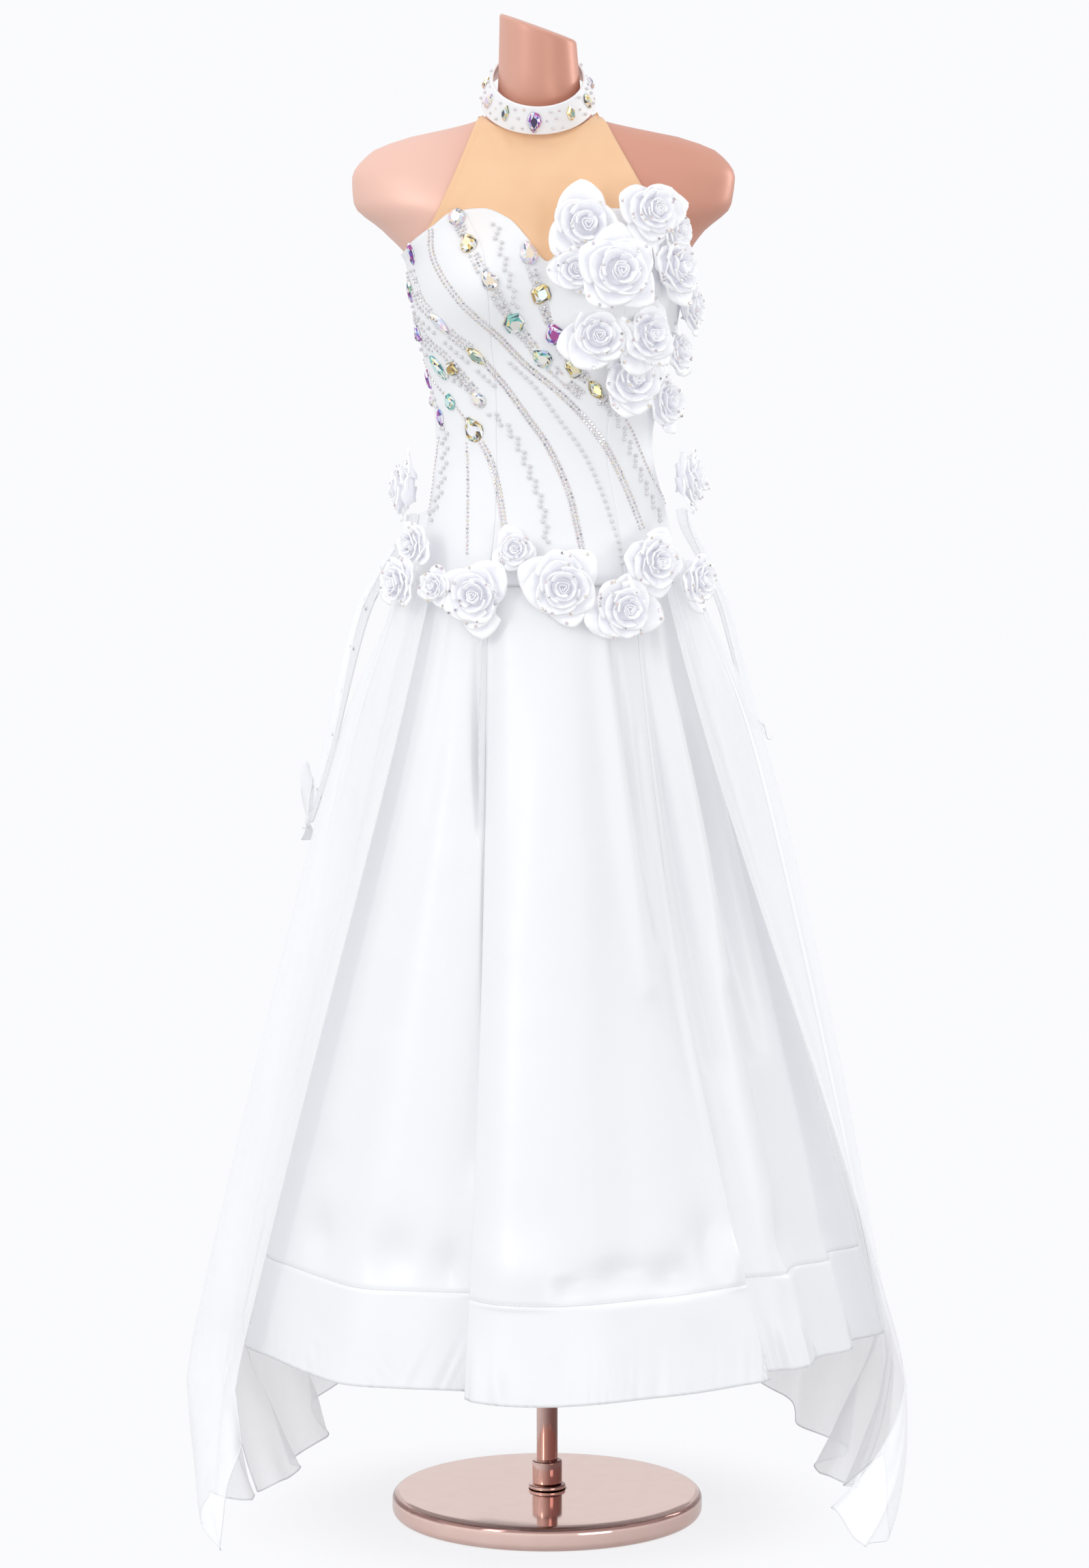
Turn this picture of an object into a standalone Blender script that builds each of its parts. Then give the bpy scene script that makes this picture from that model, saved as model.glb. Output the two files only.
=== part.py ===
"""Ballroom dance dress on a limbless dress form with a rod and a round base.

Metres, +Z up. The origin is the middle of the base's underside; the front of the
dress looks along -Y. Angles around the body are in degrees from the front, positive
towards +X.
"""
import math

import bmesh
import bpy
import numpy as np

# ---------------------------------------------------------------- driving sizes
SEAM_GAP = 0.0003          # clear space between two sewn pieces
CLOTH_CLEAR = 0.0025       # bodice cloth off the form
CREPE = 0.002              # lined crepe of the bodice
SATIN = 0.0015             # skirt satin
CHIFFON = 0.0012           # floats
MESH = 0.0012              # stretch mesh of the yoke
COLLAR_WALL = 0.0025

DROP_WAIST = 1.060         # seam of bodice and skirt
HEM = 0.195                # satin hem above the floor

BASE_RADIUS = 0.176
BASE_HEIGHT = 0.029
BASE_ROUND = 0.009
ROD_RADIUS = 0.012
SOCKET_RADIUS = 0.017
SOCKET_TOP = 0.062
FORM_BOTTOM = 0.885

# the form's level sections: height, half width, depth to the front, depth to the
# back, squareness of the oval, sideways shift and forward shift of its middle
FIGURE = [
    # z      half   front  back   oval  x_mid   y_mid
    (0.885, 0.128, 0.078, 0.092, 2.2, 0.0000, 0.000),
    (0.905, 0.148, 0.093, 0.108, 2.2, 0.0000, 0.000),
    (0.960, 0.153, 0.098, 0.116, 2.2, 0.0000, 0.000),
    (1.060, 0.144, 0.098, 0.112, 2.2, 0.0000, 0.000),
    (1.127, 0.130, 0.092, 0.100, 2.2, 0.0010, 0.000),
    (1.212, 0.116, 0.083, 0.084, 2.2, -0.0035, 0.000),
    (1.277, 0.123, 0.088, 0.084, 2.2, -0.0010, 0.000),
    (1.323, 0.136, 0.095, 0.089, 2.2, 0.0000, 0.000),
    (1.388, 0.147, 0.102, 0.095, 2.2, 0.0000, 0.000),
    (1.418, 0.154, 0.102, 0.098, 2.2, 0.0000, 0.000),
    (1.448, 0.177, 0.096, 0.099, 2.1, -0.0040, 0.000),
    (1.478, 0.209, 0.091, 0.099, 2.1, -0.0050, 0.000),
    (1.508, 0.212, 0.079, 0.096, 2.1, -0.0040, 0.000),
    (1.535, 0.193, 0.063, 0.088, 2.0, -0.0030, 0.000),
    (1.552, 0.150, 0.050, 0.077, 2.0, -0.0030, 0.000),
    (1.563, 0.098, 0.044, 0.066, 2.0, -0.0050, -0.001),
    (1.572, 0.065, 0.044, 0.058, 2.0, -0.0080, -0.003),
    (1.584, 0.051, 0.046, 0.051, 2.0, -0.0090, -0.006),
    (1.606, 0.0455, 0.048, 0.046, 2.0, -0.0090, -0.010),
    (1.650, 0.0430, 0.046, 0.044, 2.0, -0.0100, -0.016),
    (1.690, 0.0400, 0.044, 0.042, 2.0, -0.0105, -0.020),
]
BUST_X, BUST_Z = 0.074, 1.385          # middle of each cup
BUST_WIDE, BUST_TALL, BUST_DEEP = 0.050, 0.052, 0.034
FORM_BUST = 0.72                       # the form's own bust, as a share of the cups

NECK_TOP = 1.672                       # middle of the slanted top of the neck
NECK_SLOPE_X = -0.36                   # the top falls towards +X
NECK_SLOPE_Y = 0.10                    # and a little towards the front

# upper edge of the bodice in front: distance from the middle, height
SWEETHEART = [
    (0.000, 1.413),
    (0.023, 1.438),
    (0.042, 1.459),
    (0.070, 1.470),
    (0.102, 1.467),
    (0.124, 1.452),
    (0.146, 1.437),
    (0.160, 1.425),
]
BACK_TOP_SIDE, BACK_TOP_MIDDLE = 1.425, 1.355
WAIST_RADIUS = 0.12                    # turns a seam's gap into degrees

# bodice and skirt seams, degrees from the front
PRINCESS_LEFT, PRINCESS_RIGHT = -24.0, 33.0
SIDE_LEFT, SIDE_RIGHT = -92.0, 92.0

# folds of the satin skirt, all the way round: the angle where each ridge or valley
# leaves the drop waist, its place at the hem, and how late it swings out
SKIRT_FOLDS = [
    # name             top_az   hem_x   hem_y  bend
    ("back_valley",    -180.0,  0.000,  0.380, 1.0),
    ("back_ridge_1",   -165.0, -0.075,  0.424, 1.0),
    ("back_valley_1",  -150.0, -0.118,  0.366, 1.1),
    ("back_ridge_2",   -137.0, -0.205,  0.372, 1.0),
    ("back_valley_2",  -123.0, -0.228,  0.300, 1.1),
    ("back_ridge_3",   -111.0, -0.300,  0.268, 1.0),
    ("side_valley_1",   -99.0, -0.296,  0.198, 1.1),
    ("side_ridge_1",    -87.0, -0.345,  0.132, 1.0),
    ("side_valley_2",   -77.0, -0.326,  0.060, 1.0),
    ("side_ridge_2",    -67.0, -0.340, -0.008, 1.0),
    ("left_soft_1",     -58.0, -0.306, -0.072, 1.0),
    ("left_soft_2",     -49.0, -0.268, -0.140, 1.1),
    ("left_ridge",      -41.0, -0.222, -0.202, 1.1),
    ("left_flat_1",     -33.0, -0.162, -0.222, 1.2),
    ("left_flat_2",     -27.0, -0.108, -0.231, 1.3),
    ("left_tuck",       -23.5, -0.072, -0.243, 1.4),
    ("front_edge_left", -21.5, -0.086, -0.277, 1.4),
    ("front_1",         -14.0, -0.050, -0.305, 1.1),
    ("front_2",          -3.0,  0.004, -0.311, 1.0),
    ("front_3",           8.0,  0.055, -0.297, 1.0),
    ("front_4",          18.0,  0.105, -0.273, 1.1),
    ("front_5",          26.0,  0.158, -0.247, 1.2),
    ("front_6",          32.0,  0.207, -0.212, 1.35),
    ("front_edge_right", 36.0,  0.240, -0.184, 1.4),
    ("right_tuck",       38.5,  0.224, -0.150, 1.5),
    ("right_1",          42.5,  0.248, -0.137, 1.3),
    ("right_ridge_1",    49.0,  0.286, -0.118, 1.1),
    ("right_valley_1",   56.0,  0.303, -0.066, 1.2),
    ("right_ridge_2",    64.0,  0.340, -0.032, 1.0),
    ("right_valley_2",   72.0,  0.347,  0.020, 1.1),
    ("right_ridge_3",    80.0,  0.384,  0.062, 1.0),
    ("right_valley_3",   90.0,  0.356,  0.130, 1.1),
    ("side_ridge_3",    101.0,  0.366,  0.205, 1.0),
    ("back_valley_3",   113.0,  0.345,  0.242, 1.1),
    ("back_ridge_4",    125.0,  0.325,  0.325, 1.0),
    ("back_valley_4",   138.0,  0.236,  0.322, 1.1),
    ("back_ridge_5",    151.0,  0.180,  0.408, 1.0),
    ("back_valley_5",   166.0,  0.085,  0.362, 1.1),
]
# skirt gores: node, first and last fold of each
SKIRT_GORES = [
    ("skirt_back_left", "back_valley", "side_ridge_1"),
    ("skirt_front_left", "side_ridge_1", "left_tuck"),
    ("skirt_front", "left_tuck", "right_tuck"),
    ("skirt_front_right", "right_tuck", "right_valley_3"),
    ("skirt_back_right", "right_valley_3", "back_valley"),
]
SKIRT_LEVELS = [0.0, 0.06, 0.16, 0.30, 0.46, 0.62, 0.78, 0.90, 1.0]
SKIRT_STEPS = 2            # columns from one fold to the next
SEAM_PROBE = 0.1           # short reach from a seam, counted in folds
SEAM_STEP_LIMIT = 0.4      # most of a fold that a gap may take
TUCK_GAP = 0.0024          # clear space either side of a seam that lies in a deep tuck
VALLEY_GAP = 0.0009        # the same in a shallow valley

# smooth cone of the skirt, without folds: half width on either side and depths
CONE_TOP = (0.150, 0.150, 0.104, 0.118)
CONE_HEM = (0.338, 0.390, 0.300, 0.395)
CONE_FOOT = 1.04           # the cone stops widening a little below the hem

# chiffon floats: each row is one fold, from the front edge of the float backwards
FLOAT_LEVELS = [0.0, 0.07, 0.15, 0.26, 0.40, 0.57, 0.73, 0.87, 1.0]
FLOATS = {
    "float_left": [
        # top_az, hem_az, tip_az, out_top, out_hem, out_tip, top_z, tip_z
        (-60.0, -78.0, -72.0, 0.012, 0.012, 0.020, 1.062, 0.105),
        (-67.0, -82.0, -59.5, 0.020, 0.028, 0.084, 1.070, 0.016),
        (-74.0, -86.0, -76.0, 0.036, 0.058, 0.046, 1.085, 0.036),
        (-81.0, -91.0, -83.0, 0.042, 0.063, 0.040, 1.085, 0.036),
        (-88.0, -97.0, -87.0, 0.028, 0.024, -0.008, 1.076, 0.020),
        (-95.0, -103.0, -94.0, 0.034, 0.040, -0.010, 1.074, 0.016),
    ],
    "float_left_back": [
        (-97.0, -105.0, -96.5, 0.030, 0.036, -0.016, 1.074, 0.018),
        (-105.0, -112.0, -106.0, 0.022, 0.016, -0.044, 1.080, 0.024),
        (-114.0, -121.0, -117.0, 0.032, 0.034, -0.030, 1.092, 0.032),
        (-124.0, -130.0, -127.0, 0.022, 0.018, -0.040, 1.100, 0.045),
        (-134.0, -139.0, -137.0, 0.030, 0.034, 0.026, 1.095, 0.065),
        (-144.0, -148.0, -146.0, 0.022, 0.020, 0.010, 1.090, 0.095),
    ],
    "float_right": [
        (61.0, 84.0, 62.0, 0.012, 0.010, -0.018, 1.062, 0.045),
        (66.0, 87.0, 60.0, 0.022, 0.006, 0.036, 1.072, 0.016),
        (73.0, 92.0, 74.0, 0.042, 0.004, 0.000, 1.085, 0.016),
        (81.0, 96.0, 88.0, 0.050, 0.004, -0.016, 1.085, 0.070),
        (89.0, 101.0, 94.0, 0.034, 0.000, -0.060, 1.076, 0.030),
        (96.0, 107.0, 99.0, 0.038, 0.022, -0.040, 1.074, 0.016),
    ],
    "float_right_back": [
        (98.0, 109.0, 101.5, 0.036, 0.022, -0.044, 1.074, 0.018),
        (106.0, 115.0, 110.0, 0.026, 0.010, -0.066, 1.080, 0.022),
        (115.0, 123.0, 120.0, 0.032, 0.036, 0.000, 1.092, 0.030),
        (125.0, 132.0, 129.0, 0.022, 0.020, -0.018, 1.100, 0.045),
        (135.0, 141.0, 139.0, 0.030, 0.034, 0.020, 1.095, 0.065),
        (145.0, 149.0, 148.0, 0.022, 0.020, 0.006, 1.090, 0.095),
    ],
}
FLOAT_HEM_Z = 0.22         # height at which hem_az and out_hem hold
# how late a float's stand-off changes from out_top to out_hem; 1 is evenly
FLOAT_BEND = {
    "float_left": 0.7,
    "float_left_back": 1.0,
    "float_right": 2.0,
    "float_right_back": 1.6,
    "wrist_float_left": 1.0,
    "wrist_float_right": 1.0,
}
FLOAT_START = 0.013        # stand-off at a float's top, under the roses
FLOAT_DROP = 0.12          # how far below its top it stands off in full
FLOAT_SPREAD = 8.0         # degrees of satin either side that hold a float off
FLOAT_CLEAR = 0.010        # float off the satin's ridges
FLOAT_FOOT = 1.08          # how far past the satin's hem it is still held off

# wrist floats: narrow strips behind each hip, rows from front edge to back edge
WRIST_FLOATS = {
    "wrist_float_left": [
        (-94.0, -79.0, -84.0, 0.048, 0.054, 0.060, 1.134, 0.790),
        (-101.0, -88.0, -88.0, 0.058, 0.058, 0.062, 1.136, 0.785),
        (-108.0, -97.0, -91.0, 0.052, 0.052, 0.057, 1.134, 0.792),
    ],
    "wrist_float_right": [
        (92.0, 89.0, 89.0, 0.044, 0.038, 0.040, 1.140, 0.915),
        (98.0, 97.0, 96.0, 0.054, 0.046, 0.054, 1.142, 0.882),
        (107.0, 106.0, 103.0, 0.048, 0.042, 0.046, 1.140, 0.905),
    ],
}
WRIST_LEVELS = [0.0, 0.07, 0.14, 0.22, 0.32, 0.48, 0.72, 1.0]
WRIST_HEM_Z = 0.900
WRIST_START, WRIST_DROP = 0.006, 0.060

# roses: node, place across the front, height, radius, degrees that it faces
BUST_ROSES = [
    # name            x       z      radius  az      lift
    ("rose_bust_01", 0.038, 1.450, 0.037, 10.0, 0.006),
    ("rose_bust_02", 0.104, 1.466, 0.033, 30.0, 0.010),
    ("rose_bust_03", 0.030, 1.402, 0.024, 4.0, 0.004),
    ("rose_bust_04", 0.070, 1.398, 0.039, 16.0, 0.010),
    ("rose_bust_05", 0.126, 1.404, 0.034, 55.0, 0.006),
    ("rose_bust_06", 0.053, 1.330, 0.034, 8.0, 0.005),
    ("rose_bust_07", 0.098, 1.331, 0.034, 35.0, 0.007),
    ("rose_bust_08", 0.132, 1.316, 0.025, 65.0, 0.003),
    ("rose_bust_09", 0.084, 1.283, 0.034, 28.0, 0.006),
    ("rose_bust_10", 0.118, 1.258, 0.028, 60.0, 0.005),
    ("rose_bust_11", 0.146, 1.366, 0.027, 75.0, 0.002),
    ("rose_bust_12", 0.128, 1.446, 0.026, 60.0, 0.003),
]
HIP_ROSES = [
    # name           az       z      radius  lift
    ("rose_hip_01", -12.5, 1.101, 0.024, 0.004),
    ("rose_hip_02", -27.0, 1.051, 0.038, 0.010),
    ("rose_hip_03", -46.0, 1.060, 0.021, 0.020),
    ("rose_hip_04", -62.0, 1.101, 0.026, 0.024),
    ("rose_hip_05", -65.0, 1.060, 0.029, 0.029),
    ("rose_hip_06", -90.0, 1.163, 0.035, 0.024),
    ("rose_hip_07", 5.0, 1.060, 0.041, 0.008),
    ("rose_hip_08", 30.0, 1.035, 0.038, 0.010),
    ("rose_hip_09", 45.0, 1.084, 0.036, 0.016),
    ("rose_hip_10", 66.0, 1.063, 0.030, 0.030),
    ("rose_hip_11", 84.0, 1.172, 0.037, 0.027),
    ("rose_hip_12", -138.0, 1.098, 0.036, 0.036),
    ("rose_hip_13", 142.0, 1.100, 0.036, 0.036),
    ("rose_hip_14", 180.0, 1.086, 0.040, 0.012),
]
# a rose from its back to its heart: share of the radius, share of it as height
ROSE_RINGS = [
    (0.00, 0.00),
    (0.62, 0.02),
    (1.00, 0.22),
    (0.80, 0.36),
    (0.42, 0.46),
    (0.00, 0.38),
]
ROSE_SIDES = 10
ROSE_WAVE = 0.07           # the petals' points beyond the even outline
ROSE_CLEAR = 0.0015        # a rose's back off the cloth
ROSE_TILT = 0.12           # how far the bust roses look up
ROSE_OFF_SATIN = 0.004     # a rose's back off the satin at the waist
ROSE_OFF_FOLDS = 0.03      # more of it towards the hem, where the folds grow

# collar: ring around the neck, tipped down to the front
COLLAR_MIDDLE = (-0.010, -0.014, 1.603)
COLLAR_TILT = math.radians(34.0)
COLLAR_TOP = (0.0490, 0.0590, 0.0650)  # half width, depth to the front and the back
COLLAR_FOOT = (0.0610, 0.0670, 0.0730)
COLLAR_HEIGHT = 0.030
COLLAR_SIDES = 32

# yoke's free edges and its joint with the collar: height, left x, right x
YOKE_EDGES = [
    (1.425, -0.138, 0.138),
    (1.442, -0.134, 0.134),
    (1.454, -0.127, 0.128),
    (1.490, -0.109, 0.106),
    (1.525, -0.094, 0.086),
    (1.560, -0.080, 0.067),
    (1.586, -0.069, 0.054),
]
YOKE_COLUMNS, YOKE_ROWS = 15, 8
YOKE_CLEAR = 0.0055                    # yoke off the form
YOKE_STEP = 0.0030                     # yoke's foot above the sweetheart edge
YOKE_HEAD_Z, YOKE_HEAD_CLIMB = 1.547, 0.034   # lowest point and rise of its head
YOKE_HEAD_HALF = 0.064                 # half its width under the collar
YOKE_HEAD_ROUND = 0.95                 # how round the collar leaves it
YOKE_MIDDLE_Z, YOKE_TRIES = 1.44, 8    # where the search for its edges starts

FINISHES = {
    # name          base colour            metallic roughness
    "crepe":       ((0.90, 0.91, 0.93), 0.0, 0.65),
    "satin":       ((0.91, 0.92, 0.94), 0.0, 0.38),
    "chiffon":     ((0.90, 0.91, 0.94), 0.0, 0.60),
    "nude_mesh":   ((0.93, 0.67, 0.43), 0.0, 0.70),
    "rose_satin":  ((0.89, 0.90, 0.92), 0.0, 0.35),
    "form_skin":   ((0.74, 0.42, 0.32), 0.1, 0.45),
    "rose_gold":   ((0.80, 0.50, 0.42), 1.0, 0.15),
}


# ---------------------------------------------------------------- small helpers
def table_at(table, key, columns):
    """Smooth values of some columns of a table at a key in its first column."""
    keys = [row[0] for row in table]
    key = min(max(key, keys[0]), keys[-1])
    i = max(0, min(len(keys) - 2, int(np.searchsorted(keys, key)) - 1))
    t = (key - keys[i]) / (keys[i + 1] - keys[i])
    values = []
    for c in columns:
        y0, y1 = table[i][c], table[i + 1][c]
        step = keys[i + 1] - keys[i]
        low = slope(table, keys, i, c) * step
        high = slope(table, keys, i + 1, c) * step
        h = (2 * t**3 - 3 * t**2 + 1) * y0 + (t**3 - 2 * t**2 + t) * low
        h += (3 * t**2 - 2 * t**3) * y1 + (t**3 - t**2) * high
        values.append(h)
    return values


def slope(table, keys, i, c):
    """Slope of a table's column at row i that never overshoots its neighbours."""
    if i == 0 or i == len(keys) - 1:
        return 0.0
    before = (table[i][c] - table[i - 1][c]) / (keys[i] - keys[i - 1])
    after = (table[i + 1][c] - table[i][c]) / (keys[i + 1] - keys[i])
    if before * after <= 0.0:
        return 0.0
    return 2.0 * before * after / (before + after)


def spline(points, t):
    """Catmull-Rom curve through points, one unit of t from each to the next."""
    i = max(0, min(len(points) - 2, int(math.floor(t))))
    t = t - i
    p1, p2 = points[i], points[i + 1]
    p0 = points[i - 1] if i > 0 else 2 * p1 - p2
    p3 = points[i + 2] if i + 2 < len(points) else 2 * p2 - p1
    return 0.5 * (2 * p1 + (p2 - p0) * t + (2 * p0 - 5 * p1 + 4 * p2 - p3) * t**2
                  + (3 * p1 - p0 - 3 * p2 + p3) * t**3)


def grid_of(surface, us, vs):
    return np.array([[surface(u, v) for u in us] for v in vs])


def grid_normals(grid):
    du = np.gradient(grid, axis=1)
    dv = np.gradient(grid, axis=0)
    n = np.cross(du, dv)
    return n / np.linalg.norm(n, axis=2, keepdims=True)


def new_object(name, finish, points, faces, smooth=True):
    mesh = bpy.data.meshes.new(name)
    mesh.from_pydata([tuple(p) for p in points], [], faces)
    bm = bmesh.new()
    bm.from_mesh(mesh)
    bmesh.ops.recalc_face_normals(bm, faces=bm.faces)
    bm.to_mesh(mesh)
    bm.free()
    mesh.materials.append(finish)
    if smooth:
        mesh.shade_smooth()
        mesh.set_sharp_from_angle(angle=math.radians(50))
    ob = bpy.data.objects.new(name, mesh)
    bpy.context.scene.collection.objects.link(ob)
    return ob


def cloth_panel(name, finish, grid, near, far):
    """A wall on a grid of points: from near to far along the grid's normals."""
    n = grid_normals(grid)
    rows, cols = grid.shape[:2]
    inner = (grid + n * near).reshape(-1, 3)
    outer = (grid + n * far).reshape(-1, 3)
    count = rows * cols
    faces = []
    for r in range(rows - 1):
        for c in range(cols - 1):
            a, b = r * cols + c, r * cols + c + 1
            d, e = a + cols, b + cols
            # both sides of the wall are split along the same, shorter diagonal
            if np.linalg.norm(inner[a] - inner[e]) < np.linalg.norm(inner[b] - inner[d]):
                halves = [(a, b, e), (a, e, d)]
            else:
                halves = [(a, b, d), (b, e, d)]
            for half in halves:
                faces.append(half)
                faces.append(tuple(count + q for q in reversed(half)))
    rim = [c for c in range(cols)]
    rim += [r * cols + cols - 1 for r in range(1, rows)]
    rim += [(rows - 1) * cols + c for c in range(cols - 2, -1, -1)]
    rim += [r * cols for r in range(rows - 2, 0, -1)]
    for a, b in zip(rim, rim[1:] + rim[:1]):
        faces.append((a, count + a, count + b, b))
    return new_object(name, finish, np.vstack([inner, outer]), faces)


def ring_solid(name, finish, rings, closed_profile=False):
    """A closed body through rings of equal length, capped, or joined end to end."""
    side = len(rings[0])
    points = [p for ring in rings for p in ring]
    faces = []
    last = len(rings) if closed_profile else len(rings) - 1
    for r in range(last):
        for c in range(side):
            d = (c + 1) % side
            s = (r + 1) % len(rings)
            faces.append((r * side + c, r * side + d, s * side + d, s * side + c))
    if not closed_profile:
        faces.append(tuple(range(side)))
        faces.append(tuple((len(rings) - 1) * side + c for c in range(side)))
    return new_object(name, finish, points, faces)


def turned(name, finish, profile, sides):
    """A body turned about Z from (radius, height) points, radius 0 at both ends."""
    points = [(0.0, 0.0, profile[0][1])]
    for radius, z in profile[1:-1]:
        for k in range(sides):
            a = 2 * math.pi * k / sides
            points.append((radius * math.cos(a), radius * math.sin(a), z))
    points.append((0.0, 0.0, profile[-1][1]))
    faces = []
    for k in range(sides):
        n = (k + 1) % sides
        faces.append((0, 1 + n, 1 + k))
        for r in range(len(profile) - 3):
            a, b = 1 + r * sides, 1 + (r + 1) * sides
            faces.append((a + k, a + n, b + n, b + k))
        top = 1 + (len(profile) - 3) * sides
        faces.append((top + k, top + n, len(points) - 1))
    return new_object(name, finish, points, faces)


# ---------------------------------------------------------------- the figure
def bust(x, z):
    """How far the cups stand forward at a place on the front."""
    across = (abs(x) - BUST_X) / BUST_WIDE
    up = (z - BUST_Z) / BUST_TALL
    return BUST_DEEP * math.exp(-across**2 - up**2)


def figure_point(az, z, cups=1.0):
    """Place on the general figure at an angle from the front and a height."""
    half, front, back, oval, x_mid, y_mid = table_at(FIGURE, z, range(1, 7))
    s, c = math.sin(math.radians(az)), math.cos(math.radians(az))
    x = x_mid + half * math.copysign(abs(s) ** (2.0 / oval), s)
    depth = front if c > 0 else back
    y = y_mid - math.copysign(abs(c) ** (2.0 / oval), c) * depth
    if c > 0:
        y -= cups * bust(x, z) * min(1.0, 2.5 * c)
    return np.array((x, y, z))


def front_depth(x, z):
    """Y of the figure's front at a place across and a height."""
    half, front, back, oval, x_mid, y_mid = table_at(FIGURE, z, range(1, 7))
    across = min(0.995, abs(x - x_mid) / half)
    return y_mid - front * (1.0 - across**oval) ** (1.0 / oval) - bust(x, z)


def figure_frame(az, z):
    """Place on the figure, and its outward direction there."""
    p = figure_point(az, z)
    along = figure_point(az + 1.0, z) - figure_point(az - 1.0, z)
    up = figure_point(az, z + 0.004) - figure_point(az, z - 0.004)
    n = np.cross(along, up)
    return p, n / np.linalg.norm(n)


# ---------------------------------------------------------------- form and stand
def build_form(finish, metal):
    sides = 32
    angles = [360.0 * k / sides for k in range(sides)]
    heights = [row[0] for row in FIGURE if row[0] < 1.60]
    extra = [0.5 * (a + b) for a, b in zip(heights, heights[1:])
             if b - a > 0.04 or 1.38 < a < 1.53]
    rings = []
    for z in sorted(heights + extra):
        rings.append([figure_point(az, z, FORM_BUST) for az in angles])
    for share in (0.35, 0.7, 1.0):
        ring = []
        for az in angles:
            foot = figure_point(az, 1.610)
            top = figure_point(az, 1.660)
            top[2] = NECK_TOP + NECK_SLOPE_X * (top[0] + 0.0105) + NECK_SLOPE_Y * (top[1] + 0.017)
            ring.append(foot + (top - foot) * share)
        rings.append(ring)
    ring_solid("form_torso", finish, rings)

    base = [(0.0, 0.0), (BASE_RADIUS - 0.004, 0.0), (BASE_RADIUS, 0.004)]
    for k in range(1, 6):
        a = math.radians(90.0 * k / 5)
        base.append((BASE_RADIUS - BASE_ROUND * (1 - math.cos(a)),
                     BASE_HEIGHT - BASE_ROUND * (1 - math.sin(a))))
    base.append((0.0, BASE_HEIGHT))
    turned("stand_base", metal, base, 40)
    foot = BASE_HEIGHT + SEAM_GAP
    # the socket is a sleeve around the rod
    sleeve = [(SOCKET_RADIUS, foot), (SOCKET_RADIUS, SOCKET_TOP - 0.002),
              (SOCKET_RADIUS - 0.002, SOCKET_TOP), (ROD_RADIUS + SEAM_GAP, SOCKET_TOP),
              (ROD_RADIUS + SEAM_GAP, foot)]
    rings = []
    for radius, z in sleeve:
        rings.append([(radius * math.cos(math.radians(15 * k)),
                       radius * math.sin(math.radians(15 * k)), z) for k in range(24)])
    ring_solid("stand_socket", metal, rings, closed_profile=True)
    rod_top = FORM_BOTTOM - SEAM_GAP
    rod = [(0.0, foot), (ROD_RADIUS, foot), (ROD_RADIUS, rod_top), (0.0, rod_top)]
    turned("stand_rod", metal, rod, 24)


# ---------------------------------------------------------------- bodice
def bodice_top(az):
    """Height of the bodice's upper edge at an angle."""
    if abs(az) > 90.0:
        share = (abs(az) - 90.0) / 90.0
        ease = share * share * (3 - 2 * share)
        return BACK_TOP_SIDE + (BACK_TOP_MIDDLE - BACK_TOP_SIDE) * ease
    low, high = 1.38, 1.50
    for _ in range(24):
        z = 0.5 * (low + high)
        edge = table_at(SWEETHEART, abs(figure_point(az, z)[0]), [1])[0]
        if z < edge:
            low = z
        else:
            high = z
    return 0.5 * (low + high)


def build_bodice(finish):
    gap = math.degrees(SEAM_GAP / WAIST_RADIUS)
    panels = [
        ("bodice_front", PRINCESS_LEFT, PRINCESS_RIGHT, 14),
        ("bodice_front_right", PRINCESS_RIGHT, SIDE_RIGHT, 7),
        ("bodice_back_right", SIDE_RIGHT, 180.0, 6),
        ("bodice_back_left", -180.0, SIDE_LEFT, 6),
        ("bodice_front_left", SIDE_LEFT, PRINCESS_LEFT, 7),
    ]
    for name, start, end, columns in panels:
        angles = np.linspace(start + gap, end - gap, columns + 1)
        rows = 12
        foot = DROP_WAIST + SEAM_GAP

        def place(az, v):
            z = foot + (bodice_top(az) - foot) * v
            return figure_point(az, z)

        grid = grid_of(place, angles, np.linspace(0.0, 1.0, rows + 1))
        cloth_panel(name, finish, grid, CLOTH_CLEAR, CLOTH_CLEAR + CREPE)


# ---------------------------------------------------------------- collar and yoke
def collar_point(az, v, out):
    """On the collar: v from 0 at its foot to 1 at its upper edge."""
    half, front, back = [a + (b - a) * v + out for a, b in zip(COLLAR_FOOT, COLLAR_TOP)]
    x = half * math.sin(math.radians(az))
    y = -math.cos(math.radians(az))
    y *= front if y < 0 else back
    z = COLLAR_HEIGHT * (v - 0.5)
    c, s = math.cos(COLLAR_TILT), math.sin(COLLAR_TILT)
    return (COLLAR_MIDDLE[0] + x, COLLAR_MIDDLE[1] + y * c - z * s,
            COLLAR_MIDDLE[2] + y * s + z * c)


def build_collar(finish):
    loop = [(0.0, 0.0), (1.0, 0.0), (1.0, COLLAR_WALL), (0.0, COLLAR_WALL)]
    rings = []
    for v, out in loop:
        rings.append([collar_point(360.0 * k / COLLAR_SIDES, v, out)
                      for k in range(COLLAR_SIDES)])
    ring_solid("collar_band", finish, rings, closed_profile=True)


def yoke_foot(x):
    return table_at(SWEETHEART, abs(x), [1])[0] + YOKE_STEP


def yoke_head(x):
    """Height of the yoke's upper edge, just under the collar."""
    across = min(1.0, abs(x - COLLAR_MIDDLE[0]) / YOKE_HEAD_HALF)
    climb = 1.0 - math.sqrt(1.0 - YOKE_HEAD_ROUND * across**2)
    return YOKE_HEAD_Z + YOKE_HEAD_CLIMB * climb


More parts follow.
